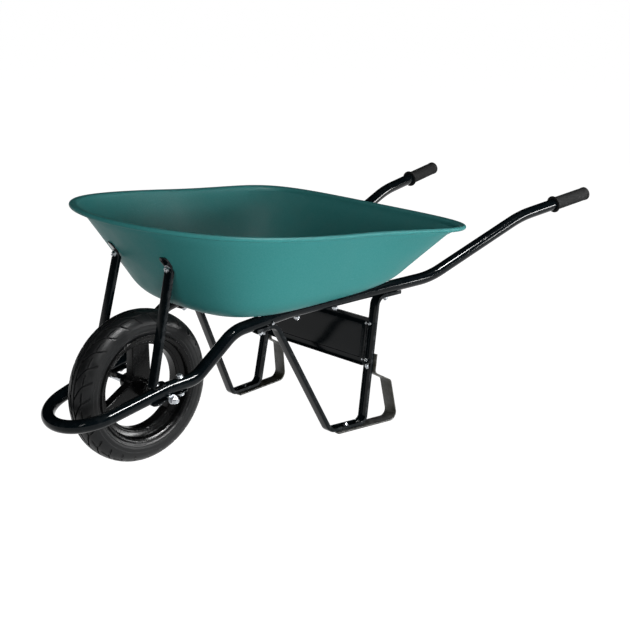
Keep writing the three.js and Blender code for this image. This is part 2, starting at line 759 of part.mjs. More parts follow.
/** The inner tube, with its valve: hollow, and open through the valve's bore. */
function makeInnerTube() {
  const outer = [
    [WHEEL_R - 10, 0],
    [WHEEL_R - 18, TYRE_HALF_W * 0.56],
    [WHEEL_R - 35, TYRE_HALF_W * 0.81],
    [WHEEL_R - 47, TYRE_HALF_W * 0.7],
    [128, 21.5],
    [125.2, 18],
    [RIM_WELL_R + 0.8, 10.5],
    [RIM_WELL_R + 0.8, 0],
  ];
  const wall = 2;
  const middle = 145;
  const inner = outer.map(([r, y]) => [r + (r > middle ? -wall : wall), Math.max(0, y - wall)]);
  const ring = (half, sides) => atAxle(turned(closedRing(half), sides));
  const stem = rod(onValve(RIM_WELL_R + 2), onValve(84), 4, 10);
  const bore = rod(onValve(RIM_WELL_R + 5), onValve(80), 1.5, 8);
  return cut(join(ring(outer, 32), stem), ring(inner, 32), bore);
}

function makeRim() {
  const well = RIM_WELL_R;
  const t = RIM_SHEET;
  const half = [
    [well, 0],
    [well, 12],
    [124.5, 20],
    [124.5, 33],
    [131, 35.6],
    [131, 38.6],
    [128, 38.6],
    [124.5 - t, 35],
    [124.5 - t, 21.5],
    [well - t, 14],
    [well - t, 0],
  ];
  const barrel = atAxle(turned(closedRing(half), GROUND_SIDES));
  const hub = atAxle(new THREE.CylinderGeometry(HUB_R, HUB_R, 2 * HUB_HALF, 24));
  const parts = [barrel, hub];
  const pockets = [];
  for (let i = 0; i < SPOKES; i++) {
    const turn = SPOKE_TURN + (2 * Math.PI * i) / SPOKES;
    const reach = Math.sqrt((well - 0.8) ** 2 - (SPOKE_W / 2) ** 2); // its corners end in the barrel
    const bar = new THREE.BoxGeometry(reach, SPOKE_DEPTH, SPOKE_W).translate(reach / 2, 0, 0);
    const pocketLength = well - t - HUB_R - 4;
    const pocket = new THREE.BoxGeometry(pocketLength, SPOKE_DEPTH, SPOKE_W - 2 * SPOKE_SHEET);
    pocket.translate(HUB_R + 2 + pocketLength / 2, -SPOKE_SHEET, 0);
    parts.push(atAxle(bar.rotateY(-turn)));
    pockets.push(atAxle(pocket.rotateY(-turn)));
  }
  const bore = rod(v3(0, -60, WHEEL_R), v3(0, 60, WHEEL_R), 13.4, 24);
  const valveHole = rod(onValve(90), onValve(115), 4.6, 10);
  return cut(join(...parts), ...pockets, bore, valveHole);
}

/** A flanged nylon bush in each end of the hub. */
function makeBush() {
  const profile = [
    [BUSH_BORE_R, HUB_HALF - 22],
    [13, HUB_HALF - 22],
    [13, HUB_HALF + GAP],
    [17, HUB_HALF + GAP],
    [17, HUB_HALF + 4],
    [BUSH_BORE_R, HUB_HALF + 4],
    [BUSH_BORE_R, HUB_HALF - 22],
  ];
  return atAxle(turned(profile, 24));
}

function makeSpacer() {
  const from = HUB_HALF + 4.6;
  const to = RAIL_Y0 - 15 - GAP;
  const profile = [
    [AXLE_R + GAP, from],
    [9.5, from],
    [9.5, to],
    [AXLE_R + GAP, to],
    [AXLE_R + GAP, from],
  ];
  return atAxle(turned(profile, 16));
}

// ---------------------------------------------------------------- the assembly
add("tray", makeTray(), materials.tray);
add("frame_tube", makeFrameTube(), materials.frame);
addPair("grip", makeGrip(), materials.grip);
addPair("front_strut", makeStrut(), materials.frame);
addPair("leg", makeLeg(), materials.frame);
addPair("skid_bar", makeSkid(), materials.skid);
add("leg_panel", makePanel(), materials.frame);
addPair("axle_bracket", makeAxleBracket(), materials.frame);

add("axle", rod(v3(0, -AXLE_END_Y, WHEEL_R), v3(0, AXLE_END_Y, WHEEL_R), AXLE_R, 24), materials.zinc);
const axleNutSeat = v3(0, RAIL_Y0 + 15 + GAP, WHEEL_R);
addPair("axle_nut", nut(axleNutSeat, v3(0, 1, 0), 10, 18, AXLE_R + GAP), materials.zinc);
addPair("axle_spacer", makeSpacer(), materials.zinc);
addPair("hub_bush", makeBush(), materials.nylon);

add("rim", makeRim(), materials.rim);
add("tyre", makeTyre(), materials.rubber);
add("inner_tube", makeInnerTube(), materials.rubber);
add("valve_cap", rod(onValve(84 - GAP), onValve(74), 5, 10), materials.nylon);

// Bolts through each rail, the axle bracket and, at the front one, the strut's bottom flap.
BRACKET_BOLT_X.forEach((x, i) => {
  const end = i ? "rear" : "front";
  const top = TUBE_R + (i ? 1 : STRAP + 3.4);
  const seat = -(TUBE_R + STRAP + 2);
  const down = railUp(x).negate();
  addPair(`bracket_bolt_${end}`, bolt(onRail(x, top), down, top - seat + NUT_H + 3), materials.zinc);
  addPair(`bracket_nut_${end}`, nut(onRail(x, seat), down), materials.zinc);
});

// Bolts through the tray floor and each rail.
TRAY_BOLT_X.forEach((x, i) => {
  const end = i ? "rear" : "front";
  const top = TUBE_R + TRAY.sheet + 1.6;
  const seat = -(TUBE_R + 0.8);
  const down = railUp(x).negate();
  addPair(`tray_bolt_${end}`, bolt(onRail(x, top), down, top - seat + NUT_H + 3), materials.zinc);
  addPair(`tray_nut_${end}`, nut(onRail(x, seat), down), materials.zinc);
});

// Bolts through the top flap of each strut and the tray's front wall, with the nut outside.
const strutHead = onStrutBolt(-TRAY.sheet - 0.8);
const strutSeat = onStrutBolt(STRAP + FLAP_OFF + GAP);
const strutGrip = strutSeat.distanceTo(strutHead);
addPair("strut_bolt", bolt(strutHead, WALL_OUT, strutGrip + NUT_H + 4), materials.zinc);
addPair("strut_nut", nut(strutSeat, WALL_OUT), materials.zinc);

// Bolts through each rail and a leg.
LEG_BOLT_X.forEach((x, i) => {
  const top = TUBE_R + 0.8;
  const bolted = boltWithNut(onRail(x, top), railUp(x).negate(), top + LEG_SEAT + 0.6);
  addPair(`leg_bolt_${i ? "rear" : "front"}`, bolted, materials.zinc);
});

// A screw in the lower outer side of each rail, over the bend of the leg.
const screw = join(
  rod(onScrew(TUBE_R + GAP), onScrew(TUBE_R + 4.5), 8 / Math.sqrt(3), 6),
  rod(onScrew(TUBE_R - 6), onScrew(TUBE_R + 1), 2.4, 8),
);
addPair("rail_screw", screw, materials.zinc);

// The foot and its skid bar, the upright and the other end of the bar, the upright and the panel.
const footTop = v3(FOOT_BOLT_X, legY(FOOT_BOLT_X, 0), FOOT_Z + CHANNEL_SHEET + GAP);
const footBolt = join(
  rod(footTop, footTop.clone().setZ(footTop.z + NUT_H), HEX_R, 6),
  rod(footTop.clone().setZ(0.6), footTop.clone().setZ(footTop.z + 12), BOLT_R, 8),
);
addPair("foot_bolt", footBolt, materials.zinc);
const skidSeat = v3(uprightX(SKID_BOLT_Z) + 2, 0, SKID_BOLT_Z);
skidSeat.add(v3(SKID_T + 2 * GAP, legY(skidSeat.x, skidSeat.z), 0));
addPair("skid_bolt", boltWithNut(skidSeat, v3(-1, 0, 0), 12), materials.zinc);
PANEL_BOLT_Z.forEach((z, i) =>
  addPair(`panel_bolt_${i ? "top" : "bottom"}`, makePanelBolt(z), materials.zinc),
);

barrow.position.x = -ORIGIN_X;
export default barrow;
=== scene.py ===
import math

import bmesh
import bpy
import numpy as np
from mathutils import Matrix, Vector


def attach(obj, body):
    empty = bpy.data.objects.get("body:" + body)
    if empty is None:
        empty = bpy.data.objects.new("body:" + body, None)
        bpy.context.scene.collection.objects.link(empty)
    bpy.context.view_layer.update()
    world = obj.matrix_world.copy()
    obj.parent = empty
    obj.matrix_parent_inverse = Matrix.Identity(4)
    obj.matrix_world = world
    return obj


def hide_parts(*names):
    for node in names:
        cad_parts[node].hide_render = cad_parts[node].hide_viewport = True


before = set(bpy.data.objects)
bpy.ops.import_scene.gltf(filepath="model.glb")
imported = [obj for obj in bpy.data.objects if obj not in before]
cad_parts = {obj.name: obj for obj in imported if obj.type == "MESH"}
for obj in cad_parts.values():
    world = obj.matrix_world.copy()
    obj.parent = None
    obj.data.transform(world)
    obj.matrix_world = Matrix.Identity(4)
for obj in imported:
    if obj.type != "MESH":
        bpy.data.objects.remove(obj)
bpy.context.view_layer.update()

# Lengths below are millimetres measured from the axle: the wheel end points to -X, the handles
# to +X, the ground is z = 0. The part's own origin is under the middle of its box.
ORIGIN_X = 577.15
SIDE = np.array([0.0, 1.0, 0.0])

WHEEL_R = 185.0
TUBE_R = 15.875
RAIL_Y0 = 114.0  # half the distance between the rails over the axle
RAIL_Z0 = 208.0  # height of their centre line there
RAIL_FLARE = 0.124  # growth of that half distance for each millimetre towards the handles
BOW_X = -135.0  # where the rails end and the round bow begins
BOW_RISE = 0.27
# The rail from the bow to the grip: x, z and the radius of each bend.
RAIL = [
    (BOW_X, RAIL_Z0 + BOW_X * BOW_RISE, 0),
    (0, RAIL_Z0, 150),
    (73, 217.6, 60),
    (180, 314.5, 90),
    (335, 338.3, 300),
    (798, 364.2, 250),
    (1132, 493.6, 350),
    (1394, 532.9, 0),
]


# ------------------------------------------------------------------ vectors and paths
def unit(v):
    v = np.asarray(v, float)
    return v / np.linalg.norm(v, axis=-1, keepdims=True)


def vec(*xyz):
    return np.array(xyz, float)


def bend(corners, step=6.0):
    """Corner points [x, y, z, bend radius] turned into stations along straights and arcs."""
    points = [np.asarray(c[:3], float) for c in corners]
    stations = [points[0]]
    for i in range(1, len(corners) - 1):
        radius = corners[i][3]
        back = unit(points[i - 1] - points[i])
        ahead = unit(points[i + 1] - points[i])
        turn = math.pi - math.acos(np.clip(back @ ahead, -1, 1))
        if radius == 0 or turn < 1e-4:
            stations.append(points[i])
            continue
        reach = radius * math.tan(turn / 2)
        centre = points[i] + unit(back + ahead) * math.hypot(radius, reach)
        out = points[i] + back * reach - centre
        count = max(2, round(math.degrees(turn) / step))
        for k in range(count + 1):
            a = turn * k / count
            stations.append(centre + math.cos(a) * out + math.sin(a) * radius * -back)
    stations.append(points[-1])
    return np.array(stations)


def refine(stations, longest):
    """Adds stations so that no two are further apart than the given length."""
    made = [stations[0]]
    for a, b in zip(stations[:-1], stations[1:]):
        count = max(1, math.ceil(np.linalg.norm(b - a) / longest))
        made += [a + (b - a) * (k + 1) / count for k in range(count)]
    return np.array(made)


def tangents(stations):
    steps = unit(np.diff(stations, axis=0))
    return unit(np.vstack([steps[:1], steps[:-1] + steps[1:], steps[-1:]]))


def along(stations):
    """Distance from the first station to each one."""
    return np.concatenate([[0], np.cumsum(np.linalg.norm(np.diff(stations, axis=0), axis=1))])


def rounded(points, step=15.0):
    """A 2-D polyline of (x, y, radius) with its corners rounded."""
    return bend([(x, y, 0, r) for x, y, r in points], step)[:, :2]


def full_turn(count):
    """Angles evenly spaced round a circle."""
    return np.arange(count) * 2 * math.pi / count


def radial(angles, x, y):
    """Unit vectors at these angles in the plane of x and y."""
    return np.cos(angles)[:, None] * x + np.sin(angles)[:, None] * y


def mirrored(half, flip):
    """Half an outline joined to its mirror image, which runs back to the start."""
    half = np.asarray(half)
    return np.vstack([half, (half * flip)[1:-1][::-1]])


def smooth(x, low, high):
    """0 up to low, 1 from high on, and an S curve between them."""
    t = np.clip((x - low) / (high - low), 0, 1)
    return t * t * (3 - 2 * t)


# ------------------------------------------------------------------ meshes
def grid(rows, columns, close_rows=False, close_columns=False):
    """Quads of a rows x columns block of vertices, joined round where asked."""
    r = np.arange(rows if close_rows else rows - 1)
    c = np.arange(columns if close_columns else columns - 1)
    r, c = (m.ravel() for m in np.meshgrid(r, c, indexing="ij"))
    r2, c2 = (r + 1) % rows, (c + 1) % columns
    return np.stack([r * columns + c, r * columns + c2, r2 * columns + c2, r2 * columns + c], 1)


class Body:
    """Vertices and faces gathered from several shapes into one mesh."""

    def __init__(self):
        self.points = []
        self.faces = []
        self.count = 0

    def add(self, points, faces):
        points = np.asarray(points, float).reshape(-1, 3)
        self.faces += [[int(i) + self.count for i in face] for face in faces]
        self.points.append(points)
        self.count += len(points)
        return self

    def block(self, rings, close_rows=False, caps=True):
        """A stack of closed rings, with flat ends unless the stack closes on itself."""
        rings = np.asarray(rings, float)
        rows, columns = rings.shape[:2]
        faces = grid(rows, columns, close_rows, True).tolist()
        if caps and not close_rows:
            faces += [list(range(columns))[::-1], list(range((rows - 1) * columns, rows * columns))]
        return self.add(rings, faces)

    def sweep(self, sections, stations, sides=SIDE, close=False):
        """A section, or one for each station, carried along the stations."""
        t = tangents(stations)
        b = unit(np.cross(t, np.broadcast_to(sides, t.shape)))
        n = np.cross(b, t)
        sections = np.broadcast_to(sections, (len(stations), *np.shape(sections)[-2:]))
        rings = (
            stations[:, None]
            + sections[..., :1] * n[:, None]
            + sections[..., 1:] * b[:, None]
        )
        return self.block(rings, close)

    def turned(self, profile, at, direction, sides=32, close=True):
        """A closed profile of (radius, distance along) turned about an axis."""
        z, x, y = axes(direction)
        profile = np.asarray(profile, float)
        spokes = radial(full_turn(sides), x, y)
        rings = at + profile[:, :1, None] * spokes[None] + profile[:, 1:, None] * z
        return self.block(rings, close_rows=close)

    def object(self, name, sharp=38.0, mirror=False):
        """A Blender object in the part's frame, with edges over the sharp angle left hard."""
        points = np.vstack(self.points)
        if mirror:
            points = points * vec(1, -1, 1)
        mesh = bpy.data.meshes.new(name)
        mesh.from_pydata(((points - vec(ORIGIN_X, 0, 0)) / 1000).tolist(), [], self.faces)
        bm = bmesh.new()
        bm.from_mesh(mesh)
        bmesh.ops.remove_doubles(bm, verts=bm.verts, dist=1e-6)
        bmesh.ops.recalc_face_normals(bm, faces=bm.faces)
        bm.to_mesh(mesh)
        bm.free()
        mesh.shade_smooth()
        mesh.set_sharp_from_angle(angle=math.radians(sharp))
        made = bpy.data.objects.new(name, mesh)
        bpy.context.scene.collection.objects.link(made)
        return made


def axes(direction):
    """A unit direction and two more square to it."""
    z = unit(direction)
    helper = vec(0, 0, 1) if abs(z[2]) < 0.9 else vec(1, 0, 0)
    x = unit(np.cross(helper, z))
    return z, x, np.cross(z, x)


def show(body, name, nodes, material, rides="frame", sharp=38.0, mirror=False):
    """Makes the piece, gives it its material, and hides its CAD nodes."""
    piece = body.object(name, sharp, mirror)
    piece.data.materials.append(material)
    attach(piece, rides)
    if nodes:
        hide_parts(*nodes)
    return piece


def show_pair(body, name, node, material, rides="frame", sharp=38.0):
    """The piece made on the right, and its mirror image on the left."""
    for end, mirror in (("right", False), ("left", True)):
        nodes = [f"{node}_{end}"] if node else []
        show(body, f"{name}_{end}", nodes, material, rides, sharp, mirror)


# ------------------------------------------------------------------ materials
class Shader:
    """A Principled material with helpers for the noise that drives its inputs."""

    def __init__(self, name, colour, roughness, metallic=0.0):
        self.material = bpy.data.materials.new(name)
        self.material.use_nodes = True
        self.material.diffuse_color = (*colour, 1)
        self.nodes = self.material.node_tree.nodes
        self.links = self.material.node_tree.links
        self.shader = self.nodes["Principled BSDF"]
        self.set(self.shader, {"Base Color": (*colour, 1), "Roughness": roughness, "Metallic": metallic})
        self.place = self.nodes.new("ShaderNodeTexCoord").outputs["Object"]
        self.colour = None

    def set(self, node, values):
        for key, value in values.items():
            if isinstance(value, bpy.types.NodeSocket):
                self.links.new(value, node.inputs[key])
            else:
                node.inputs[key].default_value = value

    def node(self, kind, values=None, **settings):
        made = self.nodes.new(kind)
        for key, value in settings.items():
            setattr(made, key, value)
        self.set(made, values or {})
        return made

    def noise(self, scale, detail=3.0, rough=0.55, distortion=0.0, stretch=None):
        vector = self.place
        if stretch:
            mapping = self.node("ShaderNodeMapping", {"Vector": vector, "Scale": stretch})
            vector = mapping.outputs["Vector"]
        values = {"Vector": vector, "Scale": scale, "Detail": detail}
        values.update({"Roughness": rough, "Distortion": distortion})
        return self.node("ShaderNodeTexNoise", values).outputs["Fac"]

    def spread(self, value, low, high, to_low=0.0, to_high=1.0):
        values = {"Value": value, "From Min": low, "From Max": high}
        values.update({"To Min": to_low, "To Max": to_high})
        return self.node("ShaderNodeMapRange", values).outputs["Result"]

    def times(self, a, b):
        made = self.node("ShaderNodeMath", operation="MULTIPLY")
        self.set(made, {0: a, 1: b})
        return made.outputs[0]

    def mix(self, factor, other):
        """Blends another colour over what the base colour is so far."""
        made = self.node("ShaderNodeMix", {"Factor": factor}, data_type="RGBA")
        base = self.colour
        if base is None:
            base = self.shader.inputs["Base Color"].default_value[:]
        for index, value in ((6, base), (7, other)):
            if isinstance(value, bpy.types.NodeSocket):
                self.links.new(value, made.inputs[index])
            else:
                made.inputs[index].default_value = (*value[:3], 1)
        self.colour = made.outputs[2]
        self.links.new(self.colour, self.shader.inputs["Base Color"])
        return self

    def rough(self, value, low, high):
        self.set(self.shader, {"Roughness": self.spread(value, 0.3, 0.7, low, high)})
        return self

    def bump(self, value, strength, distance):
        values = {"Height": value, "Strength": strength, "Distance": distance}
        if self.shader.inputs["Normal"].is_linked:
            values["Normal"] = self.shader.inputs["Normal"].links[0].from_socket
        made = self.node("ShaderNodeBump", values)
        self.set(self.shader, {"Normal": made.outputs["Normal"]})
        return self

    def facing_up(self):
        """1 where the surface looks up, where dust settles."""
        normal = self.node("ShaderNodeNewGeometry").outputs["Normal"]
        z = self.node("ShaderNodeSeparateXYZ", {"Vector": normal}).outputs["Z"]
        return self.spread(z, 0.25, 0.95)

    def edges(self, low=0.51, high=0.56):
        """0 to 1 between two pointiness values: edges are over 0.5, and hollows under it."""
        pointiness = self.node("ShaderNodeNewGeometry").outputs["Pointiness"]
        return self.spread(pointiness, low, high)

    def dust(self, colour, amount):
        patch = self.spread(self.noise(14, 5), 0.42, 0.72, 0.0, amount)
        return self.mix(self.times(patch, self.facing_up()), colour)


def tray_paint():
    s = Shader("tray_paint", (0.040, 0.232, 0.228), 0.4)
    s.mix(s.spread(s.noise(3.2, 2), 0.35, 0.65, 0, 0.5), (0.031, 0.200, 0.199))
    s.mix(s.spread(s.noise(260, 2), 0.3, 0.7, 0, 0.25), (0.075, 0.30, 0.29))
    specks = s.spread(s.noise(900, 1), 0.69, 0.74, 0, 0.35)
    s.mix(specks, (0.16, 0.42, 0.41))
    scuffs = s.spread(s.noise(38, 6, 0.6, 0.4, (1, 5, 1)), 0.66, 0.72, 0, 0.18)
    s.mix(scuffs, (0.11, 0.36, 0.35))
    s.dust((0.25, 0.33, 0.31), 0.10)
    s.rough(s.noise(22, 5), 0.38, 0.48)
    s.bump(s.noise(420, 2), 0.10, 0.0004)
    s.bump(s.noise(7, 2), 0.12, 0.004)
    s.set(s.shader, {"Specular IOR Level": 0.05})
    return s.material


def frame_paint():
    s = Shader("frame_paint", (0.0018, 0.0036, 0.0048), 0.14)
    s.mix(s.spread(s.noise(30, 3), 0.35, 0.65, 0, 0.6), (0.0028, 0.0052, 0.0068))
    s.mix(s.spread(s.noise(700, 1), 0.68, 0.74, 0, 0.3), (0.014, 0.018, 0.02))
    # Painted highlight: bluish grey laid along the edges in patches.
    s.mix(s.times(s.edges(), s.spread(s.noise(60, 4), 0.5, 0.62, 0, 0.35)), (0.09, 0.095, 0.1))
    s.dust((0.12, 0.12, 0.115), 0.02)
    s.rough(s.noise(45, 5), 0.10, 0.14)
    s.bump(s.noise(60, 2), 0.03, 0.0004)
    s.set(s.shader, {"Specular IOR Level": 0.14})
    return s.material


def skid_paint():
    s = Shader("skid_paint", (0.0085, 0.0085, 0.0055), 0.5, 0.0)
    s.mix(s.spread(s.noise(25, 4), 0.35, 0.65, 0, 0.7), (0.016, 0.0155, 0.009))
    s.mix(s.spread(s.noise(55, 6, 0.65, 0.5, (3, 1, 1)), 0.60, 0.70, 0, 0.4), (0.045, 0.042, 0.03))
    s.mix(s.times(s.edges(), s.spread(s.noise(80, 4), 0.45, 0.6, 0, 0.6)), (0.14, 0.135, 0.12))
    s.rough(s.noise(60, 5), 0.38, 0.6)
    s.bump(s.noise(300, 4), 0.25, 0.0005)
    return s.material


def zinc():
    s = Shader("zinc", (0.48, 0.50, 0.52), 0.3, 1.0)
    s.mix(s.spread(s.noise(140, 3), 0.35, 0.65, 0, 0.7), (0.36, 0.38, 0.41))
    s.mix(s.spread(s.noise(60, 4), 0.6, 0.75, 0, 0.3), (0.62, 0.56, 0.40))
    s.mix(s.spread(s.noise(500, 2), 0.66, 0.74, 0, 0.5), (0.2, 0.2, 0.2))
    s.rough(s.noise(220, 4), 0.22, 0.42)
    s.bump(s.noise(900, 3), 0.15, 0.0002)
    return s.material


def rubber(name, colour, lighter, grain, low, high, painted_groove_light=False):
    """Dark rubber with a grain. For a tyre tread it also paints shade into the hollows and highlights
    onto the edges.
    """
    s = Shader(name, colour, 0.75, 0.0)
    s.mix(s.spread(s.noise(18, 4), 0.35, 0.65, 0, 0.6), lighter)
    s.mix(s.spread(s.noise(420, 3), 0.6, 0.75, 0, 0.25), tuple(2.2 * c for c in colour))
    if painted_groove_light:
        # Painted shade: the hollows of the tread are darkened.
        s.mix(s.edges(0.49, 0.40), (0.0006, 0.0006, 0.0006))
        # Painted highlight: the edges of the tread blocks are lightened.
        s.mix(s.edges(0.52, 0.60), (0.035, 0.036, 0.037))
    s.dust((0.06, 0.06, 0.058), 0.12)
    s.rough(s.noise(50, 5), low, high)
    s.bump(s.noise(grain, 4), 0.3, 0.0004)
    s.set(s.shader, {"Specular IOR Level": 0.2 if painted_groove_light else 0.08})
    return s.material


def rim_paint():
    s = Shader("rim_paint", (0.0018, 0.0019, 0.002), 0.3, 0.0)
    s.mix(s.spread(s.noise(24, 4), 0.35, 0.65, 0, 0.6), (0.0035, 0.0037, 0.004))
    # Painted highlight: grey laid along the edges in patches.
    s.mix(s.times(s.edges(), s.spread(s.noise(90, 4), 0.5, 0.62, 0, 0.3)), (0.08, 0.08, 0.08))
    s.dust((0.1, 0.1, 0.095), 0.08)
    s.rough(s.noise(70, 4), 0.20, 0.32)
    s.bump(s.noise(600, 3), 0.2, 0.0003)
    s.set(s.shader, {"Specular IOR Level": 0.14})
    return s.material


TRAY_PAINT = tray_paint()
FRAME_PAINT = frame_paint()
SKID_PAINT = skid_paint()
ZINC = zinc()
RIM_PAINT = rim_paint()
TYRE_RUBBER = rubber(
    "tyre_rubber", (0.0055, 0.0060, 0.0064), (0.0085, 0.0090, 0.0095), 700, 0.34, 0.48, painted_groove_light=True
)
TUBE_RUBBER = rubber("tube_rubber", (0.016, 0.016, 0.016), (0.022, 0.022, 0.022), 500, 0.6, 0.8)
GRIP_RUBBER = rubber("grip_rubber", (0.008, 0.0085, 0.0085), (0.012, 0.0125, 0.0125), 900, 0.62, 0.82)
NYLON = rubber("nylon", (0.018, 0.018, 0.018), (0.028, 0.028, 0.028), 350, 0.4, 0.55)


# ------------------------------------------------------------------ the rail line
def rail_y(x):
    return RAIL_Y0 + RAIL_FLARE * x


def rail_z(x):
    return float(np.interp(x, [p[0] for p in RAIL], [p[1] for p in RAIL]))


def rail_up(x):
    return unit((rail_z(x - 1) - rail_z(x + 1), 0, 2))


def on_rail(x, up=0.0):
    return vec(x, rail_y(x), rail_z(x)) + rail_up(x) * up


RAIL_STATIONS = bend([(x, rail_y(x), z, r) for x, z, r in RAIL], 2.5)
HANDLE_END = RAIL_STATIONS[-1]
HANDLE_DIR = unit(RAIL_STATIONS[-1] - RAIL_STATIONS[-2])


def make_frame_tube():
    """Both rails and the bow that joins them round the wheel, as one bent tube."""
    lean = math.atan(RAIL_FLARE)
    radius = rail_y(BOW_X) * math.cos(lean)
    start = math.pi / 2 - lean
    turns = np.linspace(start, -start, 49)[1:-1]
    x = BOW_X - radius * np.cos(turns)
    bow = np.stack([x, radius * np.sin(turns), RAIL_Z0 + x * BOW_RISE], 1)
    right = refine(RAIL_STATIONS, 40)
    left = right * vec(1, -1, 1)
    stations = np.vstack([right[::-1], bow, left])
    angles = full_turn(40)
    circle = TUBE_R * np.stack([np.cos(angles), np.sin(angles)], 1)
    tube = Body().sweep(circle, stations, vec(0, 0, 1))
    show(tube, "frame_tube_painted", ["frame_tube"], FRAME_PAINT, sharp=60)


def make_grips():
    """Sleeves with a fine diamond pattern, a guard ring at one end and a bulged cap at the other."""
    length = 137.0
    past_tube = 3.5
    sleeve_r = 17.9
    low, high = 13, length - 15  # the stretch with the pattern
    guard = rounded(
        [(16.6, 5, 0), (16.9, 0, 1), (23.6, 0, 1.6), (23.9, 3.2, 1.6), (20.6, 4.6, 1.2),
         (18.3, 8.5, 2), (sleeve_r, low, 0)]
    )
    sleeve = [(sleeve_r, distance) for distance in np.linspace(low, high, 118)]
    cap = rounded(
        [(sleeve_r, high, 0), (sleeve_r, length - 11, 1), (19.0, length - 9, 2), (19.0, length - 1.5, 3),
         (12.5, length + 2.6, 4), (8, length + 1.4, 2), (0.4, length + 1.9, 0)]
    )
    profile = np.vstack([guard[:-1], sleeve, cap[1:]])
    radius, distance = profile[:, :1], profile[:, 1:]
    diamonds_round, diamond_length, diamond_height = 28, 4.0, 0.75
    angles = full_turn(168)
    across, up = angles * diamonds_round / 2, distance / diamond_length * math.pi / 2
    diamond = np.abs(np.sin(across + up)) * np.abs(np.sin(across - up))
    patterned = smooth(distance, low, low + 3) * (1 - smooth(distance, high - 3, high))
    radius = radius + patterned * diamond_height * diamond
    start = HANDLE_END + HANDLE_DIR * (past_tube - length)
    z, x, y = axes(HANDLE_DIR)
    rings = start + radius[..., None] * radial(angles, x, y) + distance[..., None] * z
    grip = Body().block(rings)
    show_pair(grip, "handle_grip", "grip", GRIP_RUBBER, sharp=50)


# ------------------------------------------------------------------ the tray
TRAY_FRONT, TRAY_REAR = -93.0, 813.0
TRAY_MID, TRAY_HALF = (TRAY_FRONT + TRAY_REAR) / 2, (TRAY_REAR - TRAY_FRONT) / 2
FLOOR_MID, FLOOR_HALF = (117.0 + 694.0) / 2, (694.0 - 117.0) / 2
SHEET = 1.2
LIP = 20.0
RIM_Z = 563.5


def outline(angle, front_power, rear_power):
    """A rounded box of half size 1: the higher the power, the squarer its corners."""
    c, s = np.cos(angle), np.sin(angle)
    power = np.where(c < 0, front_power, rear_power)
    reach = (np.abs(c) ** power + np.abs(s) ** power) ** (-1 / power)
    return reach * c, reach * s


def rim_point(angle, inset, drop):
    """The rim's edge, brought inwards and down. Its sides bow in towards the middle."""
    u, v = outline(angle, 1.86, 4.2)
    x = TRAY_MID + TRAY_HALF * u
    step = (x - TRAY_MID) / 389.5
    half = 363.2 - 21.9 * step + 93.9 * step * step
    z = RIM_Z - 34.3 * u - drop
    return np.stack([TRAY_MID + (TRAY_HALF - inset) * u, (half - inset) * v, z], -1)


def floor_point(angle, share):
    """The floor's outline where it would meet the walls, scaled about its middle."""
    u, v = outline(angle, 3.4, 3.2)
    x = FLOOR_MID + FLOOR_HALF * u * share
    half = 240.0 + 0.063 * FLOOR_HALF * u
    return np.stack([x, half * v * share, 354.7 + 0.056 * (x - 335.0)], -1)


def tray_outside(angle, t):
    """The underside of the sheet, from the middle of the floor (0) to the top of the wall (1)."""
    corner_in = corner_up = 0.24
    corner = floor_point(angle, 1)
    top = rim_point(angle, LIP, 5)
    start = floor_point(angle, 1 - corner_in)
    end = corner + (top - corner) * corner_up
    if t < 0.3:
        return floor_point(angle, (1 - corner_in) * t / 0.3)
    if t > 0.7:
        return end + (top - end) * (t - 0.7) / 0.3
    s = (t - 0.3) / 0.4
    first = start + (corner - start) * s
    return first + (corner + (end - corner) * s - first) * s


def front_wall(y, z):
    """A point of the outside of the front wall at height z and half width y."""
    angles = np.linspace(math.pi / 2, math.pi, 400)
    found = np.concatenate([tray_outside(angles, t) for t in np.linspace(0.701, 1, 60)])
    return found[np.argmin(np.hypot(found[:, 1] - y, found[:, 2] - z))]


def make_tray():
    """One pressed sheet: floor, walls, a rim that turns out and ends in a rolled bead."""
    angle = full_turn(288)
    wall = [0.02, 0.1, 0.2, 0.29, *np.linspace(0.3, 0.7, 15), 0.76, 0.83, 0.9, 0.95]
    rings = [tray_outside(angle, t) for t in wall]
    # From the wall over to the rim, then down and round under it. Each is (inset, drop).
    bead = 4.6
    turn = np.radians(np.arange(90, -211, -20))
    curl = [(bead + SHEET - bead * math.cos(a), bead + SHEET - bead * math.sin(a)) for a in turn]
    edge = rounded([(LIP + 1.5, 13.5, 0), (LIP - 1, 3.2, 7), (bead + 3, SHEET, 0)], 12)
    rings += [rim_point(angle, i, d) for i, d in [*edge, *curl]]
    outside = np.stack(rings)
    along_ring = np.roll(outside, -1, 1) - np.roll(outside, 1, 1)
    up_wall = np.gradient(outside, axis=0)
    normal = unit(np.cross(up_wall, along_ring))
    normal[0] = (0, 0, 1)
    inside = outside + normal * SHEET
    shell = Body().block(np.concatenate([inside, outside[::-1]]))
    show(shell, "tray_pressed", ["tray"], TRAY_PAINT, sharp=40)


# ------------------------------------------------------------------ fasteners
def hexagon(flats, low, high, chamfer_low, chamfer_high, sides=48):
    """Rings of a hexagonal prism along +Z whose corners are turned off at either end."""
    a = (np.arange(sides) + 0.5) * 2 * math.pi / sides
    full = flats / 2 / np.cos((a + math.pi / 6) % (math.pi / 3) - math.pi / 6)
    cut = flats / 2 * 0.96
    slope = 1.7
    reach = (flats / 2 / math.cos(math.pi / 6) - cut) / slope
    steps = reach * np.array([0, 0.25, 0.5, 0.75, 1])
    levels = [(low + k, cut + slope * k) for k in steps] if chamfer_low else [(low, flats)]
    if chamfer_high:
        levels += [(high - k, cut + slope * k) for k in steps[::-1]]
    else:
        levels.append((high, flats))
    return [(z, np.minimum(full, limit), a) for z, limit in levels]


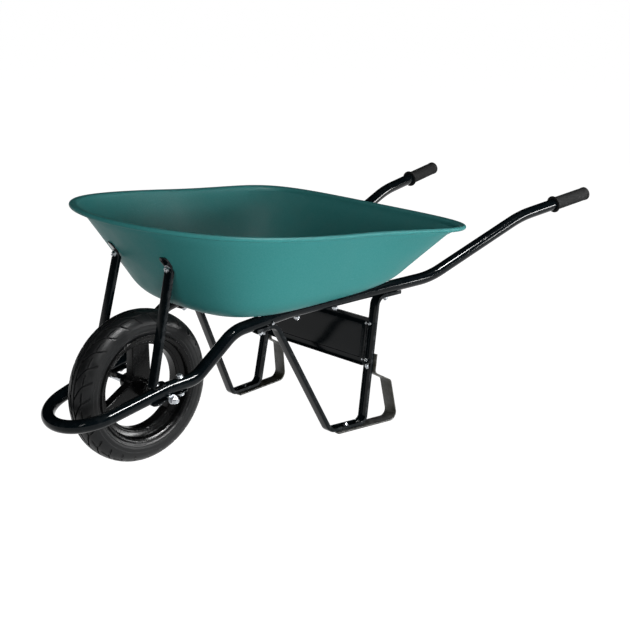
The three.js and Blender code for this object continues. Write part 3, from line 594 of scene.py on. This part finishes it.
def add_rings(body, rings, at, direction, bore=None):
    """Rings of (distance, radii, angles) set along a direction, solid or with a bore."""
    z, x, y = axes(direction)

    def ring(distance, radii, angles):
        return at + z * distance + np.reshape(radii, (-1, 1)) * radial(angles, x, y)

    made = [ring(*r) for r in rings]
    if bore is None:
        return body.block(made)
    chamfer, depth = 0.5, 0.6
    (low, _, angles), (high, _, _) = rings[0], rings[-1]
    made.append(ring(high, bore + chamfer, angles))
    made.append(ring(high - depth, bore, angles))
    made.append(ring(low + depth, bore, angles))
    made.append(ring(low, bore + chamfer, angles))
    return body.block(made, close_rows=True)


def add_head(body, at, direction, flats=13.0, height=5.3):
    """A bolt head whose seat is at a point, standing the other way from the shank's direction."""
    out = -unit(direction)
    rings = hexagon(flats, 0.4, height, False, True)
    z, a = rings[-1][0], rings[-1][2]
    rings += [(z - 0.25, np.full(len(a), flats * 0.40), a), (z - 0.35, np.full(len(a), flats * 0.2), a)]
    add_rings(body, rings, at, out)
    washer = rounded([(0.5, 0, 0), (flats * 0.47, 0, 0.2), (flats * 0.47, 0.7, 0), (0.5, 0.7, 0)])
    return body.turned(washer, at, out, 40)


def add_nut(body, at, direction, flats=13.0, height=6.5, bore=None):
    return add_rings(body, hexagon(flats, 0, height, True, True), at, direction, bore)


def add_thread(body, at, direction, start, end, radius=3.9, plain=0.0):
    """A shank from start to end along a direction, threaded after a plain length."""
    pitch = 1.25
    deep = 0.55
    profile = [(0.01, start), (radius, start)]
    d = start + plain
    if plain:
        profile.append((radius, d))
    while d < end - 1.2:
        profile += [(radius - deep, d + pitch * 0.5), (radius, d + pitch)]
        d += pitch
    profile += [(radius - 0.2, end - 0.7), (radius - 1.0, end), (0.01, end)]
    return body.turned(profile, at, direction, 20, close=False)


def add_washer(body, at, direction, outer=8.5, bore=4.3, thick=1.4):
    corners = [(bore, 0, 0), (outer, 0, 0.3), (outer, thick, 0.4), (bore, thick, 0.2), (bore, 0, 0)]
    return body.turned(rounded(corners)[:-1], at, direction, 40)


# ------------------------------------------------------------------ sections of sheet metal
def channel(depth, width=26.0, sheet=2.5, corner=4.0):
    """Web on y = 0 and flanges towards +y, with pressed corners. A depth near the sheet is flat."""
    w = width / 2
    depth = max(depth, sheet + 0.7)
    tip = min(0.6, (depth - sheet) / 3)
    r = min(corner, depth - tip)
    inner = max(0.2, min(r - sheet, depth - tip - sheet))
    points = [(w - r + r * math.cos(a), r + r * math.sin(a)) for a in np.radians(np.linspace(-90, 0, 7))]
    points += [(w, depth - tip), (w - tip, depth), (w - sheet + tip, depth), (w - sheet, depth - tip)]
    middle = (w - sheet - inner, sheet + inner)
    for a in np.radians(np.linspace(0, -90, 5)):
        points.append((middle[0] + inner * math.cos(a), middle[1] + inner * math.sin(a)))
    right = np.array(points)
    return np.vstack([right, right[::-1] * (-1, 1)])


def flat_bar(width, thick, edge=1.0):
    w = width / 2
    corners = [(w, 0, edge), (w, thick, edge), (-w, thick, edge), (-w, 0, edge)]
    return rounded([(0, 0, 0), *corners, (0, 0, 0)], 30)[:-1]


def end_taper(run, most, length=9.0):
    """Width at each station of a strip whose ends narrow by up to a share of it."""
    ends = np.minimum(run, run[-1] - run)
    return 1 - most * (1 - np.clip(ends / length, 0, 1)) ** 2


# ------------------------------------------------------------------ legs and skid bars
LEG_SEAT = TUBE_R + 7.5
FOOT_Z = 4.35
SKID_T = 4.0
GAP = 0.35  # between pieces that lie on each other
UPRIGHT_FOOT_X = 571
UPRIGHT_LEAN = 0.146


def leg_top(x):
    """Height of the flaps, which lie under the sloping rail."""
    secant = 1.012  # of the rail's slope
    return rail_z(x) - LEG_SEAT * secant


def upright_x(z):
    return UPRIGHT_FOOT_X + UPRIGHT_LEAN * (z - FOOT_Z)


def leg_y(x, z):
    """The leg's plane follows the rail's flare and leans out towards the ground."""
    return 132.6 + RAIL_FLARE * x - 0.0567 * z


def on_leg(x, z, radius=0.0):
    return (x, leg_y(x, z), z, radius)


def make_legs():
    """One length of channel: flap, front leg, foot, upright and flap."""
    upright_top = upright_x(334)
    path = bend(
        [
            on_leg(238, leg_top(238)),
            on_leg(291, leg_top(291), 22),
            on_leg(451, FOOT_Z, 30),
            on_leg(UPRIGHT_FOOT_X, FOOT_Z, 26),
            on_leg(upright_top, leg_top(upright_top), 20),
            on_leg(690, leg_top(690)),
        ],
        5,
    )
    path = refine(path, 14)
    leg = Body().sweep(channel(11.0), path)
    show_pair(leg, "leg_channel", "leg", FRAME_PAINT, sharp=40)


def make_skids():
    """Flat bars under the feet that turn up behind them to the uprights."""
    secant = 1.011  # of the upright's lean

    def behind(z):
        return upright_x(z) + (SKID_T + GAP) * secant

    path = bend(
        [
            on_leg(474, 0.0),
            on_leg(670, 0.0, 22),
            on_leg(648.5, 112, 14),
            on_leg(behind(141), 141, 12),
            on_leg(behind(188), 188),
        ],
        6,
    )
    path = refine(path, 14)
    bar = Body().sweep(flat_bar(38, SKID_T), path)
    show_pair(bar, "skid_flat", "skid_bar", SKID_PAINT, sharp=40)


# ------------------------------------------------------------------ struts to the tray
STRUT_BOLT_Y, STRUT_BOLT_Z = 99.0, 490.0
WALL = front_wall(STRUT_BOLT_Y, STRUT_BOLT_Z)
WALL_UP = unit((front_wall(99, 530) - front_wall(99, 450)) * vec(1, 0, 1))
WALL_ACROSS = unit(front_wall(114, 490) - front_wall(84, 490))
WALL_OUT = unit(np.cross(WALL_UP, WALL_ACROSS))
WALL_SIDE = np.cross(WALL_OUT, WALL_UP)
FLAP = 2.8
FLAP_OFF = 1.0
STRUT_SLOPE = 0.23  # the web's lean to the rear, for each millimetre up
STRUT_LINE_X, STRUT_LINE_Z = -51, 210  # a point of the web's line
STRUT_FOOT_X = -30  # the middle of the flap on the rail


def on_strut_bolt(out):
    return vec(WALL[0], STRUT_BOLT_Y, WALL[2]) + WALL_OUT * out


def make_struts():
    """One strip of channel whose ends are flattened: up the tray's wall, and back along the rail."""
    face = on_strut_bolt(FLAP_OFF + FLAP)
    secant = 1.036  # of the rail's slope
    foot_top = rail_z(STRUT_FOOT_X) + (TUBE_R + GAP) * secant
    foot_y = rail_y(STRUT_FOOT_X)

    def on_flap(x):
        return foot_top + (x - STRUT_FOOT_X) * BOW_RISE

    # Where the wall flap's face meets the line of the web.
    up = WALL_UP
    off_line = STRUT_SLOPE * (face[2] - STRUT_LINE_Z) + STRUT_LINE_X - face[0]
    fold = face + up * (off_line / (up[0] - STRUT_SLOPE * up[2]))
    foot_x = STRUT_LINE_X + STRUT_SLOPE * (foot_top - STRUT_LINE_Z)
    foot = vec(foot_x, foot_y, on_flap(foot_x))
    flap_end = -9
    path = bend(
        [
            (*(face + up * 31), 0),
            (*fold, 9),
            (*foot, 6),
            (flap_end, rail_y(flap_end), on_flap(flap_end), 0),
        ],
        6,
    )
    path = refine(path, 5)
    run = along(path)
    fold_run = run[np.argmin(np.linalg.norm(path - fold, axis=1))]
    foot_run = run[np.argmin(np.linalg.norm(path - foot, axis=1))]
    deep = smooth(run, fold_run - 1, fold_run + 9) * (1 - smooth(run, foot_run - 15, foot_run - 4))
    on_wall = 1 - smooth(run, fold_run - 8, fold_run + 12)
    sides = unit(SIDE + (WALL_SIDE - SIDE) * on_wall[:, None])
    sections = np.stack([channel(11 * k) for k in deep])
    sections[..., 0] *= end_taper(run, 0.42)[:, None]
    strut = Body().sweep(sections, path, sides)
    show_pair(strut, "strut_channel", "front_strut", FRAME_PAINT, sharp=40)


# ------------------------------------------------------------------ panel across the legs
def make_panel():
    """A pressed plate: an edge folded forward all round and a raised field with round corners."""
    bottom, top = 154.0, 279.0
    lean = math.atan(UPRIGHT_LEAN)
    up = vec(math.sin(lean), 0, math.cos(lean))
    rearward = vec(math.cos(lean), 0, -math.sin(lean))
    height = (top - bottom) / math.cos(lean)
    in_front = 11  # of the uprights' webs
    side_gap = 13.7
    corner_at = vec(upright_x(bottom) - in_front, 0, bottom)

    def half_width(up_panel):
        z = bottom + up_panel * math.cos(lean)
        return leg_y(upright_x(z) - in_front, z) - side_gap

    def ring(inset, corner, depth):
        """A loop with rounded corners, brought in from the panel's edge and set to the rear."""
        low, high = inset, height - inset
        wide = [(half_width(low) - inset, low), (half_width(high) - inset, high)]
        loop = np.array([*wide, (-wide[1][0], high), (-wide[0][0], low)])
        points = []
        for i, here in enumerate(loop):
            before, after = loop[i - 1], loop[(i + 1) % 4]
            back, ahead = unit(before - here), unit(after - here)
            for t in np.arange(7) / 6:
                points.append(here + back * corner * (1 - t) ** 2 + ahead * corner * t**2)
            start, end = here + ahead * corner, after - ahead * corner
            points += [start + (end - start) * k / 6 for k in range(1, 6)]
        points = np.array(points)
        return corner_at + points[:, :1] * SIDE + points[:, 1:] * up + depth * rearward

    sheet = 1.6
    raised = 4.0
    back = 11.0
    # Each is (inset, corner, depth): the folded edge first, then the step up to the raised field.
    edge = [(0, 4, 0), (0, 4, back - 2.5), (0.7, 4, back - 0.7), (2.5, 4, back)]
    step = [(15.5, 8, back), (16.6, 8, back - 0.4), (17.4, 8, back - 1.4), (18.4, 8, back - raised + 0.6)]
    step += [(19.4, 8, back - raised + 0.1), (20.6, 8, back - raised)]
    outer = [*edge, *step, (40, 6, back - raised)]
    inner = [(sheet, 3, 0), (sheet, 3, back - 3.6), (2.2, 3, back - 2.0), (3.6, 3, back - sheet)]
    inner += [(inset + 0.6, corner, depth - sheet) for inset, corner, depth in step]
    inner.append((40, 6, back - raised - sheet))
    panel = Body().block(np.array([ring(*r) for r in [*inner[::-1], *outer]]))
    show(panel, "leg_panel_pressed", ["leg_panel"], FRAME_PAINT, sharp=40)


# ------------------------------------------------------------------ axle and brackets
def make_brackets():
    """Straps bolted under the rail that dip to cradle the axle."""
    thick = 3
    secant = 1.045  # of the rail's slope, with a little play

    def under(x):
        return rail_z(x) - (TUBE_R + GAP) * secant - thick

    r = 9.35
    front, rear, splay = -47, 51, 1.5
    corners = [
        (front, RAIL_Y0, under(front), 0),
        (-r - splay, RAIL_Y0, under(-r), 5),
        (-r, RAIL_Y0, WHEEL_R, 0),
    ]
    turns = np.linspace(math.pi, 2 * math.pi, 19)[1:-1]
    corners += [(r * math.cos(a), RAIL_Y0, WHEEL_R + r * math.sin(a), 0) for a in turns]
    corners += [
        (r, RAIL_Y0, WHEEL_R, 0),
        (r + splay, RAIL_Y0, under(r), 5),
        (rear, RAIL_Y0, under(rear), 0),
    ]
    path = refine(bend(corners, 10), 4)
    sections = np.stack([flat_bar(30, thick, 0.6)] * len(path))
    sections[..., 0] *= end_taper(along(path), 0.5)[:, None]
    strap = Body().sweep(sections, path)
    show_pair(strap, "axle_cradle", "axle_bracket", FRAME_PAINT, sharp=40)


def make_axle():
    centre = vec(0, 0, WHEEL_R)
    r, plain, tip = 6.0, 112, 147
    shaft = [(0.01, -plain), (r, -plain), (r, plain), (0.01, plain)]
    rod = Body().turned(shaft, centre, SIDE, 40, close=False)
    for side in (-1, 1):
        add_thread(rod, centre, SIDE * side, plain, tip, radius=r)
    show(rod, "axle_rod", ["axle"], ZINC)
    at = centre + SIDE * 129.35
    washer = 1.6
    nut = add_nut(Body(), at + SIDE * washer, SIDE, 18, 8.6, bore=5.6)
    add_washer(nut, at, SIDE, 11.5, 6.1, washer)
    show_pair(nut, "axle_locknut", "axle_nut", ZINC)
    start, end = 52.7, 98.6
    spacer = [(6.3, start, 0), (9.5, start, 0.6), (9.5, end, 0.6), (6.3, end, 0.3), (6.3, start, 0)]
    sleeve = Body().turned(rounded(spacer)[:-1], centre, SIDE, 48)
    show_pair(sleeve, "spacer_sleeve", "axle_spacer", ZINC)
    bush = rounded(
        [(6.15, 26, 0), (13, 26, 0.8), (13, 48.4, 0.3), (17, 48.4, 0.8), (17, 50.6, 1.2),
         (11.5, 52, 1), (6.15, 52, 0.5), (6.15, 26, 0)]
    )
    show_pair(Body().turned(bush[:-1], centre, SIDE, 48), "bush", "hub_bush", NYLON, "wheel")


# ------------------------------------------------------------------ the wheel
PITCHES = 27
GROOVE_DEEP, CROSS_DEEP = 4.4, 5.0
CENTRE_GROOVE = (3.4, 7.6)  # distances over the tread, from its middle
OUTER_GROOVE = (24.2, 28.3)


def tyre_rows():
    """Half the tyre from the middle out: distance over the tread, and (radius, distance across)."""
    turn = np.linspace(0, math.pi / 2, 400)
    power = 2 / 2.3
    crown = np.stack([150 + 35 * np.cos(turn) ** power, 40 * np.sin(turn) ** power], 1)
    run = along(crown)
    over = [0, 2.2, 2.9, 3.5, 7.5, 8.1, 9.6, 11.4, 13.5, 16, 18.5, 21, 22.4, 23.6, 24.3, 28.2, 28.9]
    over += [30.4, 32, 34, 36.5, 39, 41.5, 44, 46.5, 48.5]
    tread = np.stack([np.interp(over, run, crown[:, 0]), np.interp(over, run, crown[:, 1])], 1)
    wall = rounded(
        [(*tread[-1], 0), (155.5, 39.9, 4), (153.6, 39.4, 1), (146, 40.2, 8), (141, 38.6, 1),
         (139.8, 39.2, 1), (137.5, 38.2, 1), (136.4, 36.8, 2), (130.5, 34.6, 1.5), (128.4, 33.6, 1),
         (126.2, 31.2, 0)], 20
    )[1:]
    over = np.concatenate([over, np.full(len(wall), over[-1])])
    return over, np.vstack([tread, wall])


def wheel_ring(radius, across, turn):
    """Points of the wheel, with the turn measured from its front, up over the top."""
    return np.stack([-radius * np.cos(turn), across, radius * np.sin(turn) + WHEEL_R], -1)


def make_tyre():
    """Cross grooves sweep out to the shoulders from the grooves that run round at the centre."""
    over, half = tyre_rows()
    # Shares of a pitch: a column on each edge of the cross groove, two in it, and the block.
    groove = 0.21 - 0.08 * smooth(over, 16, 30) + 0.06 * smooth(over, 32, 44)
    lip = 0.016
    steps = 10
    share = np.zeros((len(half), steps + 4))
    share[:, 1] = lip
    share[:, 2] = groove - lip
    for k in range(steps + 1):
        share[:, 3 + k] = groove + (1 - groove) * k / (steps + 1)
    # How far up the tyre each cross groove has swept, in pitches, from the middle outwards.
    sweep = 0.85 * smooth(over, 0, 30) + 0.42 * np.clip((over - 14) / 34, 0, 1) ** 1.4
    pitch = np.arange(PITCHES)[None, :, None] + share[:, None, :]
    turn = (pitch + sweep[:, None, None]) * 2 * math.pi / PITCHES

    depth = np.zeros((len(half), 1, share.shape[1]))
    in_cross = (over > CENTRE_GROOVE[1]) * (1 - smooth(over, 43, 48))
    depth[:, 0, 1:3] = (in_cross * CROSS_DEEP)[:, None]
    in_centre, in_outer = ((over > low) & (over < high) for low, high in (CENTRE_GROOVE, OUTER_GROOVE))
    depth[in_centre] = GROOVE_DEEP
    # The outer groove stops short of the next cross groove, which ties the block to its shoulder.
    tie = 3 + int(steps * 0.8)
    depth[in_outer, 0, 3:tie] = GROOVE_DEEP

    radius = half[:, :1, None] - depth
    across = np.broadcast_to(half[:, 1:, None], turn.shape)
    right = wheel_ring(radius, across, turn).reshape(len(half), -1, 3)
    left = right * vec(1, -1, 1)
    inside = [(128, 27), (133, 31.0), (150, 35.5), (164, 34), (173, 26), (177, 12)]
    plain = full_turn(right.shape[1])
    inner = np.stack([wheel_ring(r, np.full(len(plain), y), plain) for r, y in inside])
    rows = np.concatenate([left[::-1], right[1:], inner, inner[::-1] * vec(1, -1, 1)])
    tyre = Body().block(rows, close_rows=True)
    show(tyre, "tyre_tread", ["tyre"], TYRE_RUBBER, "wheel", 32)


def add_spoke(rim, turn):
    """A flat-sided bar with rounded edges that flares into the hub and into the barrel."""
    centre = vec(0, 0, WHEEL_R)
    out, aside = vec(math.cos(turn), 0, math.sin(turn)), vec(-math.sin(turn), 0, math.cos(turn))
    rings = []
    for reach in (17, 20, 23, 100, 101.5, 103, 104.5):
        w = 17 + 14 * math.exp(-(reach - 18) / 12) + 12 * math.exp(-(104 - reach) / 9)
        deep = 15.0 - 2.5 * smooth(reach, 84, 104)
        near_side = [(w, -deep, 3), (w - 7, -deep, 0), (w - 9.5, -deep, 0), (0, -deep, 0)]
        section = mirrored(rounded([(0, deep, 0), (w - 1, deep, 4), *near_side], 18), (-1, 1))
        rings.append(centre + out * reach + section[:, :1] * aside + section[:, 1:] * SIDE)
    rim.block(rings)


def make_rim():
    centre = vec(0, 0, WHEEL_R)
    barrel = rounded(
        [(106, 0, 0), (106, 12, 6), (124.5, 20, 5), (124.5, 31.5, 3), (129.4, 34.4, 2.5),
         (132.4, 37.4, 1.6), (130.6, 39.4, 1.4), (127.0, 38.2, 1.4), (122.6, 34.8, 2.5), (121.6, 21.6, 4),
         (110.5, 17.2, 2), (109.2, 18.2, 1), (107.4, 17.6, 1), (103, 13.6, 5), (103, 0, 0)], 15
    )
    hub = rounded(
        [(13.3, 0, 0), (13.3, 48, 0.6), (18.5, 48, 1.2), (20, 46, 1.5), (20, 30, 2), (21.6, 26, 3),
         (21.6, 0, 0)], 20
    )
    rim = Body().turned(mirrored(barrel, (1, -1)), centre, SIDE, 144)
    rim.turned(mirrored(hub, (1, -1)), centre, SIDE, 64)
    for k in range(3):
        add_spoke(rim, math.radians(90 + 120 * k))
    show(rim, "rim_pressed", ["rim"], RIM_PAINT, "wheel", 40)


def make_valve():
    """A rubber stem that points from the rim to the hub, and its ribbed cap."""
    turn = math.radians(150)
    centre, out = vec(0, 0, WHEEL_R), vec(math.cos(turn), 0, math.sin(turn))
    stem = rounded(
        [(0.01, 112, 0), (7, 112, 0), (7, 105, 2), (4.3, 103, 1.5), (3.8, 86, 0), (3.8, 84.3, 0.5),
         (0.01, 84.3, 0)]
    )
    stem = Body().turned(stem, centre, out, 32, close=False)
    show(stem, "valve_stem", ["inner_tube"], TUBE_RUBBER, "wheel")
    angles = full_turn(72)
    ribs = 5.0 - 0.45 * (np.cos(angles * 12) < -0.2)
    levels = [(83.6, 0.9), (83.2, 1), (76.5, 1), (75.2, 0.92), (74.2, 0.72), (74.0, 0.4)]
    cap = add_rings(Body(), [(distance, ribs * share, angles) for distance, share in levels], centre, out)
    show(cap, "valve_dust_cap", ["valve_cap"], NYLON, "wheel")


# ------------------------------------------------------------------ all the fasteners
UP = vec(0, 0, 1)
BRACKET_BOLT_X = (-29, 32)
TRAY_BOLT_X = (362, 480)
LEG_BOLT_X = (251, 645)
PAST_NUT = 9.5  # the shank, from the nut's seat to its tip
TOP_FLAP = 6.4  # the strut's flap and its washer, over the rail


def make_rail_bolt(x, top, seat, name, end, washer):
    """A bolt down through the rail, with its head over it and its nut under it."""
    down = -rail_up(x)
    head = add_head(Body(), on_rail(x, top + (1.2 if washer else 0)), down)
    if washer:
        add_washer(head, on_rail(x, top - 0.2), -down, 9.5)
    add_thread(head, on_rail(x, top), down, 0, top - seat + PAST_NUT, plain=top - seat - 3)
    show_pair(head, f"{name}_hex_{end}", f"{name}_bolt_{end}", ZINC)
    nut = add_nut(Body(), on_rail(x, seat), down, bore=3.6)
    show_pair(nut, f"{name}_hexnut_{end}", f"{name}_nut_{end}", ZINC)


def make_strut_bolts():
    head_at = on_strut_bolt(-SHEET - 0.8)
    seat_at = on_strut_bolt(FLAP + FLAP_OFF + 0.6)
    grip = float(np.linalg.norm(seat_at - head_at))
    head = add_head(Body(), head_at, WALL_OUT)
    add_thread(head, head_at, WALL_OUT, 0, grip + 12, plain=grip - 1)
    show_pair(head, "strut_hex", "strut_bolt", ZINC)
    nut = add_nut(Body(), seat_at + WALL_OUT * 1.3, WALL_OUT, bore=3.6)
    add_washer(nut, seat_at, WALL_OUT, 8.8)
    show_pair(nut, "strut_hexnut", "strut_nut", ZINC)


def make_leg_bolt(x, end):
    down = -rail_up(x)
    top = TUBE_R + 0.8
    grip = top + LEG_SEAT + 0.6
    bolt = add_head(Body(), on_rail(x, top), down)
    add_thread(bolt, on_rail(x, top), down, 0, grip + PAST_NUT, plain=grip - 3)
    add_nut(bolt, on_rail(x, top - grip), down)
    show_pair(bolt, f"leg_hex_{end}", f"leg_bolt_{end}", ZINC)


def make_rail_screws():
    turn = math.radians(25)
    out = vec(0, math.cos(turn), -math.sin(turn))
    at = on_rail(278)
    screw = add_head(Body(), at + out * (TUBE_R + 0.3), -out, 8, 4.2)
    add_thread(screw, at, out, TUBE_R - 6, TUBE_R + 1, 2.4)
    show_pair(screw, "rail_hex_screw", "rail_screw", ZINC)


def make_foot_bolts():
    foot = vec(511, leg_y(511, 0), FOOT_Z + 2.85)
    bolt = add_nut(Body(), foot, UP)
    add_thread(bolt, foot, UP, -6.2, 12)
    show_pair(bolt, "foot_hex", "foot_bolt", ZINC)


def make_skid_bolts():
    z = 156
    x = upright_x(z) + 2
    at = vec(x + SKID_T + 0.7, leg_y(x, z), z)
    forward = vec(-1, 0, 0)
    bolt = add_head(Body(), at, forward)
    add_thread(bolt, at, forward, 0, 21.5, plain=10)
    add_nut(bolt, at + forward * 12, forward)
    show_pair(bolt, "skid_hex", "skid_bolt", ZINC)


def make_panel_bolt(z, end):
    x = upright_x(z) - 7.8
    at = vec(x, leg_y(x, z) - 13, z)
    bolt = add_head(Body(), at - SIDE * 3.35, SIDE, 8, 4)
    add_thread(bolt, at, SIDE, -4, 8.6, 2.4)
    add_nut(bolt, at + SIDE * 3.55, SIDE, 8, 4)
    show_pair(bolt, f"panel_hex_{end}", f"panel_bolt_{end}", ZINC)


def make_fasteners():
    ends = ("front", "rear")
    for x, end, top in zip(BRACKET_BOLT_X, ends, (TUBE_R + TOP_FLAP, TUBE_R + 1)):
        make_rail_bolt(x, top, -(TUBE_R + 5), "bracket", end, washer=True)
    for x, end in zip(TRAY_BOLT_X, ends):
        make_rail_bolt(x, TUBE_R + SHEET + 1.6, -(TUBE_R + 0.8), "tray", end, washer=False)
    make_strut_bolts()
    for x, end in zip(LEG_BOLT_X, ends):
        make_leg_bolt(x, end)
    make_rail_screws()
    make_foot_bolts()
    make_skid_bolts()
    make_panel_bolt(170, "bottom")
    make_panel_bolt(264, "top")


make_frame_tube()
make_grips()
make_tray()
make_legs()
make_skids()
make_struts()
make_panel()
make_brackets()
make_axle()
make_tyre()
make_rim()
make_valve()
make_fasteners()


# ------------------------------------------------------------------ studio
def make_camera():
    camera = bpy.data.objects.new("camera", bpy.data.cameras.new("camera"))
    camera.data.lens = 69.145
    camera.data.sensor_width = 36
    yaw, pitch, roll = (math.radians(a) for a in (44.864, 15.885, -1.467))
    forward = vec(math.cos(yaw) * math.cos(pitch), math.sin(yaw) * math.cos(pitch), -math.sin(pitch))
    level = unit(np.cross(forward, vec(0, 0, 1)))
    down = np.cross(forward, level)
    right = math.cos(roll) * level + math.sin(roll) * down
    up = -(-math.sin(roll) * level + math.cos(roll) * down)
    turn = Matrix((right, up, -forward)).transposed().to_4x4()
    camera.matrix_world = Matrix.Translation((-2.20105, -2.1991, 1.1372)) @ turn
    bpy.context.scene.collection.objects.link(camera)
    bpy.context.scene.camera = camera


def area_light(name, at, target, size, power, soft):
    """A soft light gives only diffuse light, and the others only highlights."""
    light = bpy.data.lights.new(name, "AREA")
    light.shape = "RECTANGLE"
    light.size, light.size_y = size
    light.energy = power
    lamp = bpy.data.objects.new(name, light)
    direction = Vector(target) - Vector(at)
    lamp.matrix_world = Matrix.Translation(at) @ direction.to_track_quat("-Z", "Y").to_matrix().to_4x4()
    lamp.visible_glossy = not soft
    lamp.visible_diffuse = soft
    lamp.visible_camera = False
    bpy.context.scene.collection.objects.link(lamp)


def make_floor():
    """A plain pale floor that shows in the barrow's gloss and doesn't light it."""
    reach = 30.0
    corners = [(-reach, -reach, 0), (reach, -reach, 0), (reach, reach, 0), (-reach, reach, 0)]
    mesh = bpy.data.meshes.new("floor")
    mesh.from_pydata(corners, [], [(0, 1, 2, 3)])
    floor = bpy.data.objects.new("floor", mesh)
    floor.location.z = -0.0006
    pale = Shader("studio_floor", (0.25, 0.25, 0.25), 0.9)
    glow = {"Emission Color": (1, 1, 1, 1), "Emission Strength": 1.0}
    pale.set(pale.shader, {"Specular IOR Level": 0.0, **glow})
    mesh.materials.append(pale.material)
    floor.visible_diffuse = False
    bpy.context.scene.collection.objects.link(floor)


def make_world():
    """A pale backdrop that neither lights the barrow nor shows in its gloss."""
    world = bpy.data.worlds.new("studio")
    bpy.context.scene.world = world
    world.use_nodes = True
    background = world.node_tree.nodes["Background"]
    background.inputs["Color"].default_value = (1.0, 1.0, 1.0, 1)
    world.cycles_visibility.diffuse = False
    world.cycles_visibility.glossy = False


make_camera()
make_world()
make_floor()
area_light("key", (1.1, -3.8, 0.45), (0.1, 0, 0.4), (3.4, 0.9), 165, soft=True)
area_light("fill_top", (0, 0, 4.0), (0, 0, 0), (5, 5), 52, soft=True)
area_light("fill_front", (-3.2, -2.9, 0.7), (-0.4, 0, 0.3), (2, 1.5), 85, soft=True)
area_light("strip_top", (0.05, -1.6, 2.15), (0, 0, 0.3), (1.7, 0.2), 330, soft=False)
area_light("strip_right", (3.0, -2.7, 0.8), (0.2, 0, 0.4), (2.2, 0.3), 190, soft=False)
area_light("strip_front", (-2.9, -1.0, 1.5), (-0.5, 0, 0.3), (0.12, 1.2), 9, soft=False)
bpy.context.scene.view_settings.view_transform = "Standard"
